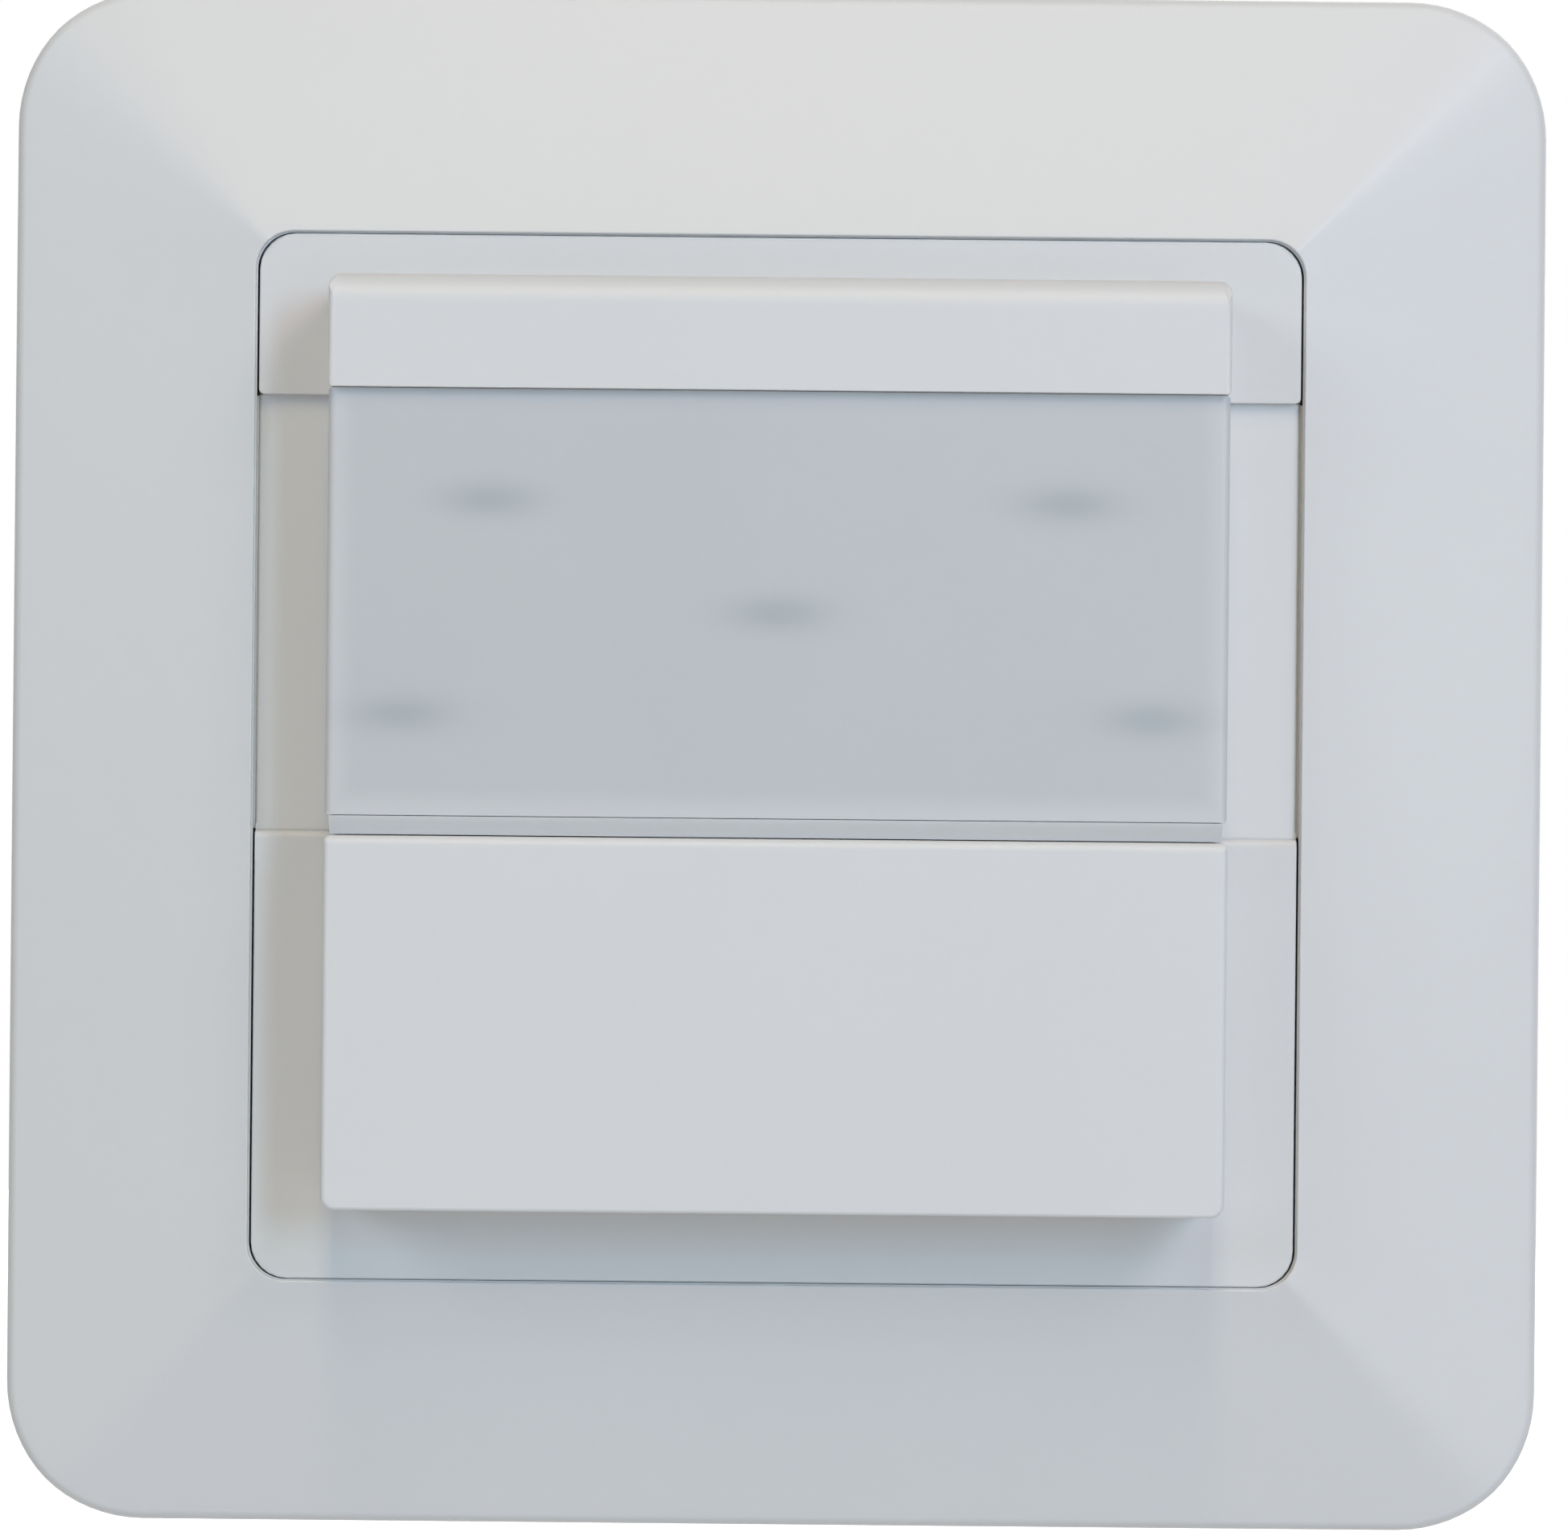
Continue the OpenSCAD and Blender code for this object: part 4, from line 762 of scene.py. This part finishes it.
def makeStrip(d, side):  # the margin beside the lens, on its leg and shelf
    end = d["stripTo"]
    low = d["stripLow"]
    high = d["stripHigh"]
    base = d["low"] + d["root"]
    inward = end - d["wall"]
    rounds = (d["stripRound"], hair / 2, d["stripInner"])[::side]
    strip = softBlock("strip", (*pair(side, d["stripFrom"], end), low, high), d["stripUnder"], d["stripTop"],
                      (*rounds, hair), even(d["stripCorner"]))
    leg = cutBlock((*pair(side, inward, end - hair), low + hair, high - hair),
                   base, d["stripTop"] - d["legDrop"])
    shelf = cutBlock((*pair(side, inward, d["shelfTo"]), low + 2 * hair, high - 2 * hair),
                     base, d["shelfTop"])
    inside = low + d["toeDeep"]
    outline = [*d["toe"], (inside, d["toe"][1][1]), (inside, d["toe"][0][1])]
    toe = sideBar(outline, *pair(side, d["stripFrom"] + hair, end - 2 * hair))
    return combine(strip, [leg, shelf, toe], "UNION")


def makeLug(d, side):  # carries one trunnion of the key
    r = d["earRadius"]
    base = d["low"] + d["root"]
    arc = [pi * i / 16 for i in range(17)]
    ear = [(d["pivotUp"] + r * cos(a), d["pivotOut"] + r * sin(a)) for a in arc]
    ear += [(d["pivotUp"] - r, base), (d["stopUp"], base), (d["stopUp"], d["stopOut"]),
            (d["pivotUp"] + r, d["stopOut"])]
    near, far = pair(side, d["earFrom"], d["earTo"])
    hole = crossPin(d["pivotUp"], d["pivotOut"], d["bore"], near - past, far + past)
    return combine(sideBar(ear, near, far), [hole], "DIFFERENCE")


def makeCarrier(d):
    h = d["half"]
    w = d["wall"]
    deck = softBlock("headCarrier", (-h, h, -h, h), d["low"], d["deck"],
                     even(d["deckRound"]), even(d["corner"]), 3)
    combine(deck, [cutBlock(d["window"], d["low"] - past, d["deck"] + past)], "DIFFERENCE")
    edge = h - hair / 2
    wall = softBlock("wall", (-edge, edge, d["hoodLow"], edge), d["low"] + d["wallSink"], d["hoodUnder"],
                     even(d["wallRound"]), (d["corner"], d["corner"], d["wallCorner"], d["wallCorner"]), 2)
    room = cutBlock((w - h, h - w, d["hoodLow"] - past, h - w), d["low"], d["hoodUnder"] + past)
    parts = [combine(wall, [room], "DIFFERENCE"), makeWeb(d)]
    for side in (-1, 1):
        parts += [makeStrip(d, side), makeLug(d, side)]
    combine(deck, parts, "UNION")
    return smoothFaces(deck)


carrier = makeCarrier(carrierSizes)
dress(carrier, "head_frame")
# the carrier gets the lightened plastic: painted light on its shaded margins
carrier.data.materials[0] = mouldedPlastic("carrierPlasticPaintedLight", **carrierPaintedLightLook)


# back pieces with their edges broken

brokenEdges = {
    "insertHousing": ("insert_housing", 0.25), "terminalBlock": ("terminal_block", 0.2),
    "supportRing": ("support_ring", 0.15), "terminalClamps": ("terminal_clamps", 0.12),
    "clawLeft": ("claw_left", 0.12), "clawRight": ("claw_right", 0.12),
}
housingSizes = {
    "back": reach("insert_housing")["low"], "cutBack": 0.4,
    "field": (-15.0, 15.0, -7.5, 9.5), "fieldDeep": 0.5, "fieldCorner": 1.4,
    "slots": 7, "slotPitch": 3.6, "slotHalf": 0.7, "slotLow": 13.0, "slotHigh": 19.5, "slotDeep": 0.9,
}


def housingCuts(sizes):  # a bare sunk field and a row of blind slots in the back face
    rects = [(sizes["field"], sizes["fieldDeep"], sizes["fieldCorner"])]
    for i in range(sizes["slots"]):
        x = (i - (sizes["slots"] - 1) / 2) * sizes["slotPitch"]
        rect = (x - sizes["slotHalf"], x + sizes["slotHalf"], sizes["slotLow"], sizes["slotHigh"])
        rects.append((rect, sizes["slotDeep"], sizes["slotHalf"] - hair))
    low = sizes["back"] - sizes["cutBack"]
    return [softBlock("cut", rect, low, sizes["back"] + deep, even(hair), even(corner), steps=1)
            for rect, deep, corner in rects]


pieceCuts = {"insertHousing": housingCuts(housingSizes)}
for name, (node, width) in brokenEdges.items():
    dress(softenedCopy(name, node, width, pieceCuts.get(name, ())), node)


# trees for what repeats and what is wound

def growTree(name, inputs, build):
    tree = bpy.data.node_groups.new(name, "GeometryNodeTree")
    tree.interface.new_socket("Geometry", in_out="OUTPUT", socket_type="NodeSocketGeometry")
    for label, kind in inputs.items():
        tree.interface.new_socket(label, in_out="INPUT", socket_type="NodeSocket" + kind)
    start = tree.nodes.new("NodeGroupInput")
    end = tree.nodes.new("NodeGroupOutput")
    given = {label: Wire(tree, start.outputs[label]) for label in inputs}
    tree.links.new(build(Wire(tree), given).socket, end.inputs[0])
    return tree


def grow(piece, tree, values):
    step = piece.modifiers.new(tree.name, "NODES")
    step.node_group = tree
    for item in tree.interface.items_tree:
        if item.name in values:
            step[item.identifier] = values[item.name]
    settle(piece)
    bm = bmesh.new()
    bm.from_mesh(piece.data)
    bmesh.ops.recalc_face_normals(bm, faces=bm.faces)
    bm.to_mesh(piece.data)
    bm.free()
    return smoothFaces(piece, 35)


def unitRows(wire, given):
    def along(axis, value):
        return wire.put("ShaderNodeCombineXYZ", None, {axis: value})

    def line(count, step, axis):
        start = along(axis, (count - 1) * step * -0.5)
        sockets = {"Count": count, "Start Location": start, "Offset": along(axis, step)}
        return wire.put("GeometryNodeMeshLine", None, sockets)

    across = line(given["Columns"], given["Step Across"], 0)
    upwards = line(given["Rows"], given["Step Up"], 2)
    grid = wire.put("GeometryNodeInstanceOnPoints", None, {"Points": upwards, "Instance": across})
    grid = wire.put("GeometryNodeRealizeInstances", None, {0: grid})
    grid = wire.put("GeometryNodeTransform", None, {"Geometry": grid, "Translation": given["Middle"]})
    unit = wire.put("GeometryNodeObjectInfo", None, {"Object": given["Unit"]}, out="Geometry")
    twist = {0: along(1, given["Twist"] * -1), 1: along(1, given["Twist"]), "Seed": given["Seed"]}
    turn = wire.put("FunctionNodeRandomValue", {"data_type": "FLOAT_VECTOR"}, twist)
    made = wire.put("GeometryNodeInstanceOnPoints", None,
                    {"Points": grid, "Instance": unit, "Rotation": turn})
    made = wire.put("GeometryNodeRealizeInstances", None, {0: made})
    return wire.put("GeometryNodeSetMaterial", None, {"Geometry": made, "Material": given["Finish"]})


def woundRidge(wire, given):  # a helix off the wall, with a flat ring at each end where it is a spring
    helix = wire.put("GeometryNodeCurveSpiral", None, {
        "Resolution": 32, "Rotations": given["Turns"], "Start Radius": given["Radius"],
        "End Radius": given["Radius"], "Height": given["Length"]})
    ring = wire.put("GeometryNodeCurvePrimitiveCircle", None,
                    {"Resolution": 32, "Radius": given["Radius"]})
    rise = wire.put("ShaderNodeCombineXYZ", None, {2: given["Length"]})
    far = wire.put("GeometryNodeTransform", None, {"Geometry": ring, "Translation": rise})
    ends = wire.put("GeometryNodeSwitch", {"input_type": "GEOMETRY"},
                    {"Switch": given["End Rings"], "True": ring.join(far)})
    section = wire.put("GeometryNodeCurvePrimitiveCircle", None,
                       {"Resolution": given["Sides"], "Radius": given["Gauge"]})
    body = wire.put("GeometryNodeCurveToMesh", None,
                    {"Curve": helix.join(ends), "Profile Curve": section, "Fill Caps": True})
    body = wire.put("GeometryNodeTransform", None,
                    {"Geometry": body, "Translation": given["Start"], "Rotation": (pi / 2, 0, 0)})
    made = wire.put("GeometryNodeRealizeInstances", None, {0: given["Base"].join(body)})
    return wire.put("GeometryNodeSetMaterial", None, {"Geometry": made, "Material": given["Finish"]})


rowsTree = growTree("unitRows", {
    "Unit": "Object", "Columns": "Int", "Rows": "Int", "Step Across": "Float", "Step Up": "Float",
    "Middle": "Vector", "Twist": "Float", "Seed": "Int", "Finish": "Material"}, unitRows)
ridgeTree = growTree("woundRidge", {
    "Base": "Geometry", "Turns": "Float", "Radius": "Float", "Length": "Float", "Gauge": "Float",
    "Sides": "Int", "End Rings": "Bool", "Start": "Vector", "Finish": "Material"}, woundRidge)
print("trees made")


# rivets, screws and pins

fastenerSizes = {
    "ringRivets": {
        "node": "ring_rivets", "columns": 2, "rows": 2, "head": 1.9, "shank": 1.2, "seat": 2.6,
        "crown": (1.5, 0.5), "slot": None, "twist": 0.0},
    "boardScrews": {
        "node": "board_screws", "columns": 2, "rows": 2, "head": 1.8, "shank": 0.9, "seat": 7.8,
        "crown": (0.5, 0.4), "slot": (0.3, 0.55), "twist": 1.4},
    "coverScrews": {
        "node": "cover_screws", "columns": 2, "rows": 2, "head": 2.0, "shank": 1.0, "seat": 3.1,
        "crown": (0.5, 0.4), "slot": (0.3, 0.55), "twist": 1.2},
    "terminalScrews": {
        "node": "terminal_screws", "columns": 3, "rows": 1, "head": 2.1, "shank": 1.25, "seat": -26.0,
        "crown": (0.3, 0.25), "slot": (0.35, 0.7), "twist": 0.9},
}
fastenerTip = {"narrow": 0.7, "taper": 0.4}  # as shares of the shank's radius
pinSizes = {"half": 0.32, "point": 0.5, "narrow": 0.5, "columns": 6, "rows": 1, "twist": 0.0}
clawPinSizes = {"radius": 0.7, "chamfer": 0.2, "columns": 2, "rows": 1, "twist": 0.0}
clawScrewSizes = {
    "shank": 1.22, "crown": (0.4, 0.35), "slot": (0.4, 0.9), "pitch": 0.8, "ridge": 0.27, "ridgeSides": 4,
}
twistSeed = 5


def fastener(d, tip, top):  # a unit on the line x = 0, up = 0, from its tip to the top of its head
    way = 1 if top > tip else -1
    inset, drop = d["crown"]
    shank = d["shank"]
    profile = [(shank * fastenerTip["narrow"], tip), (shank, tip + way * shank * fastenerTip["taper"])]
    profile += [(shank, d["seat"]), (d["head"], d["seat"])]
    for i in range(7):
        a = pi / 2 * i / 6
        profile.append((d["head"] - inset * (1 - cos(a)), top - way * drop * (1 - sin(a))))
    unit = turned(profile, 0, 0, 40)
    if d["slot"]:
        half, deep = d["slot"]
        low, high = sorted((top - way * deep, top + way * past))
        wide = d["head"] + past
        combine(unit, [cutBlock((-wide, wide, -half, half), low, high)], "DIFFERENCE")
    return unit


def setOut(name, node, unit, d, edge, out=0.0):  # the node's box gives the places
    box = reach(node)
    across = (box["x1"] - box["x0"] - 2 * edge) / max(d["columns"] - 1, 1)
    upwards = (box["u1"] - box["u0"] - 2 * edge) / max(d["rows"] - 1, 1)
    piece = grow(makePiece(name, bmesh.new()), rowsTree, {
        "Unit": unit, "Columns": d["columns"], "Rows": d["rows"],
        "Step Across": across * mm, "Step Up": upwards * mm, "Middle": tuple(spot(box["x"], box["up"], out)),
        "Twist": d["twist"], "Seed": twistSeed, "Finish": slotFinish[slotOf[node]]})
    bpy.data.objects.remove(unit)
    dress(piece, node)


for name, d in fastenerSizes.items():
    box = reach(d["node"])
    ends = (box["low"], box["top"])
    if d["seat"] < sum(ends) / 2:
        ends = ends[::-1]
    setOut(name, d["node"], fastener(d, *ends), d, d["head"])

box = reach("header_pins")
point = pinSizes["point"]
narrow = pinSizes["narrow"]
shape = ((box["low"], narrow), (box["low"] + point, 1), (box["top"] - point, 1), (box["top"], narrow))
loops = []
for out, share in shape:
    r = pinSizes["half"] * share
    loops.append([spot(x, u, out) for x, u in ((-r, -r), (r, -r), (r, r), (-r, r))])
bm = bmesh.new()
skin(bm, loops)
setOut("headerPins", "header_pins", makePiece("pin", bm), pinSizes, pinSizes["half"])

box = reach("claw_pins")
r = clawPinSizes["radius"]
c = clawPinSizes["chamfer"]
end = (box["u1"] - box["u0"]) / 2
pin = turned([(r - c, -end), (r, c - end), (r, end - c), (r - c, end)], 0, 0, 28)
pin.data.transform(Matrix.Rotation(pi / 2, 4, "X"))
setOut("clawPins", "claw_pins", pin, clawPinSizes, r, (box["low"] + box["top"]) / 2)

for name, node in (("clawScrewLeft", "claw_screw_left"), ("clawScrewRight", "claw_screw_right")):
    box = reach(node)
    d = {**clawScrewSizes, "head": (box["x1"] - box["x0"]) / 2, "seat": reach("support_ring")["top"]}
    screw = fastener(d, box["low"], box["top"])
    screw.data.transform(Matrix.Translation(spot(box["x"], 0, 0)))
    length = d["seat"] - box["low"] - 2 * d["pitch"]
    grow(screw, ridgeTree, {
        "Turns": length / d["pitch"], "Radius": d["shank"] * mm, "Length": length * mm,
        "Gauge": d["ridge"] * mm, "Sides": d["ridgeSides"], "End Rings": False,
        "Start": tuple(spot(box["x"], 0, box["low"] + d["pitch"])), "Finish": slotFinish[slotOf[node]]})
    screw.name = name
    dress(screw, node)


# return spring of the key

springSizes = {"gauge": 0.3, "sides": 10, "turns": 4.0, "keep": 0.88}

box = reach("key_spring")
gauge = springSizes["gauge"]
spring = grow(makePiece("keySpring", bmesh.new()), ridgeTree, {
    "Turns": springSizes["turns"], "Radius": ((box["x1"] - box["x0"]) / 2 - gauge) * mm,
    "Length": (box["top"] - box["low"] - 2 * gauge) * mm, "Gauge": gauge * mm,
    "Sides": springSizes["sides"], "End Rings": True, "Start": tuple(spot(0, box["up"], box["low"] + gauge)),
    "Finish": slotFinish[slotOf["key_spring"]]})
dress(spring, "key_spring")
seat = spot(0, box["up"], box["low"])
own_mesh(spring)


# finishes of the pieces that stay as they were packed

for node, piece in frame["nodes"].items():
    if not piece.hide_render:
        piece.data.materials.clear()
        piece.data.materials.append(slotFinish[slotOf[node]])
print("finishes given")


# floor, light and camera

stageSizes = {"floor": -0.12, "wide": 3.0, "lift": (0.84, 0.84, 0.84)}
floorLook = {"colour": (0.80, 0.80, 0.80), "shade": (0.78, 0.78, 0.78), "rough": 0.8}
lamps = {
    "top": {
        "at": (0.0, -0.574, 0.819), "size": (0.12, 0.5), "watts": 3.08, "colour": (1.0, 0.836, 0.556)},
    "right": {
        "at": (0.461, -0.868, 0.185), "size": (0.2, 0.3), "watts": 2.73, "colour": (0.524, 0.797, 1.0)},
    "rightHigh": {
        "at": (0.498, -0.711, 0.498), "size": (0.3, 0.3), "watts": 2.19, "colour": (1.0, 0.845, 0.93)},
    "left": {
        "at": (-0.655, -0.655, 0.378), "size": (0.3, 0.4), "watts": 1.97, "colour": (0.83, 0.924, 1.0)},
    "back": {
        "at": (0.30, 0.92, 0.25), "size": (1.4, 1.4), "watts": 6.0, "colour": (1.0, 0.98, 0.96)},
}
skyLight = (0.06, 0.066, 0.073)
view = {"at": (0.40, -288.2, -0.295), "roll": 0.55, "wide": 82.13, "range": 278.0, "film": 36.0, "near": 0.01}


def floorPaint():  # the camera sees it lifted to white, and it keeps the shadow
    material = mouldedPlastic("floorPaint", **floorLook)
    wire = Wire(material.node_tree)
    shader = next(n for n in wire.tree.nodes if n.type == "BSDF_PRINCIPLED")
    lift = seenBy(wire, "Camera", "Glossy").blend((0, 0, 0), stageSizes["lift"])
    wire.tree.links.new(lift.socket, shader.inputs["Emission Color"])
    shader.inputs["Emission Strength"].default_value = 1.0
    return material


bm = bmesh.new()
w = stageSizes["wide"] / 2
z = stageSizes["floor"]
bm.faces.new([bm.verts.new(p) for p in ((-w, -w, z), (w, -w, z), (w, w, z), (-w, w, z))])
floor = makePiece("floor", bm)
floor.data.materials.append(floorPaint())

for name, lamp in lamps.items():
    data = bpy.data.lights.new(name, "AREA")
    data.shape = "RECTANGLE"
    data.size, data.size_y = lamp["size"]
    data.energy = lamp["watts"]
    data.color = lamp["colour"]
    light = bpy.data.objects.new(name, data)
    light.location = lamp["at"]
    light.rotation_euler = (-Vector(lamp["at"])).to_track_quat("-Z", "Y").to_euler()
    scene.collection.objects.link(light)

world = bpy.data.worlds.new("studio")
world.use_nodes = True
scene.world = world
air = Wire(world.node_tree)
world.node_tree.nodes.clear()
backdrop = seenBy(air, "Camera", "Glossy", "Transmission").blend(skyLight, (1, 1, 1))
sky = air.put("ShaderNodeBackground", None, {"Color": backdrop, "Strength": 1.0})
end = air.tree.nodes.new("ShaderNodeOutputWorld")
air.tree.links.new(sky.socket, end.inputs[0])

camera = bpy.data.cameras.new("camera")
camera.sensor_width = view["film"]
camera.lens = view["film"] * view["range"] / view["wide"]
camera.clip_start = view["near"]
eye = bpy.data.objects.new("camera", camera)
eye.location = Vector(view["at"]) * mm
eye.rotation_euler = Euler((pi / 2, 0, 0))
eye.rotation_euler.rotate_axis("Z", radians(view["roll"]))
scene.collection.objects.link(eye)
scene.camera = eye
scene.view_settings.view_transform = "Standard"
print("stage made")
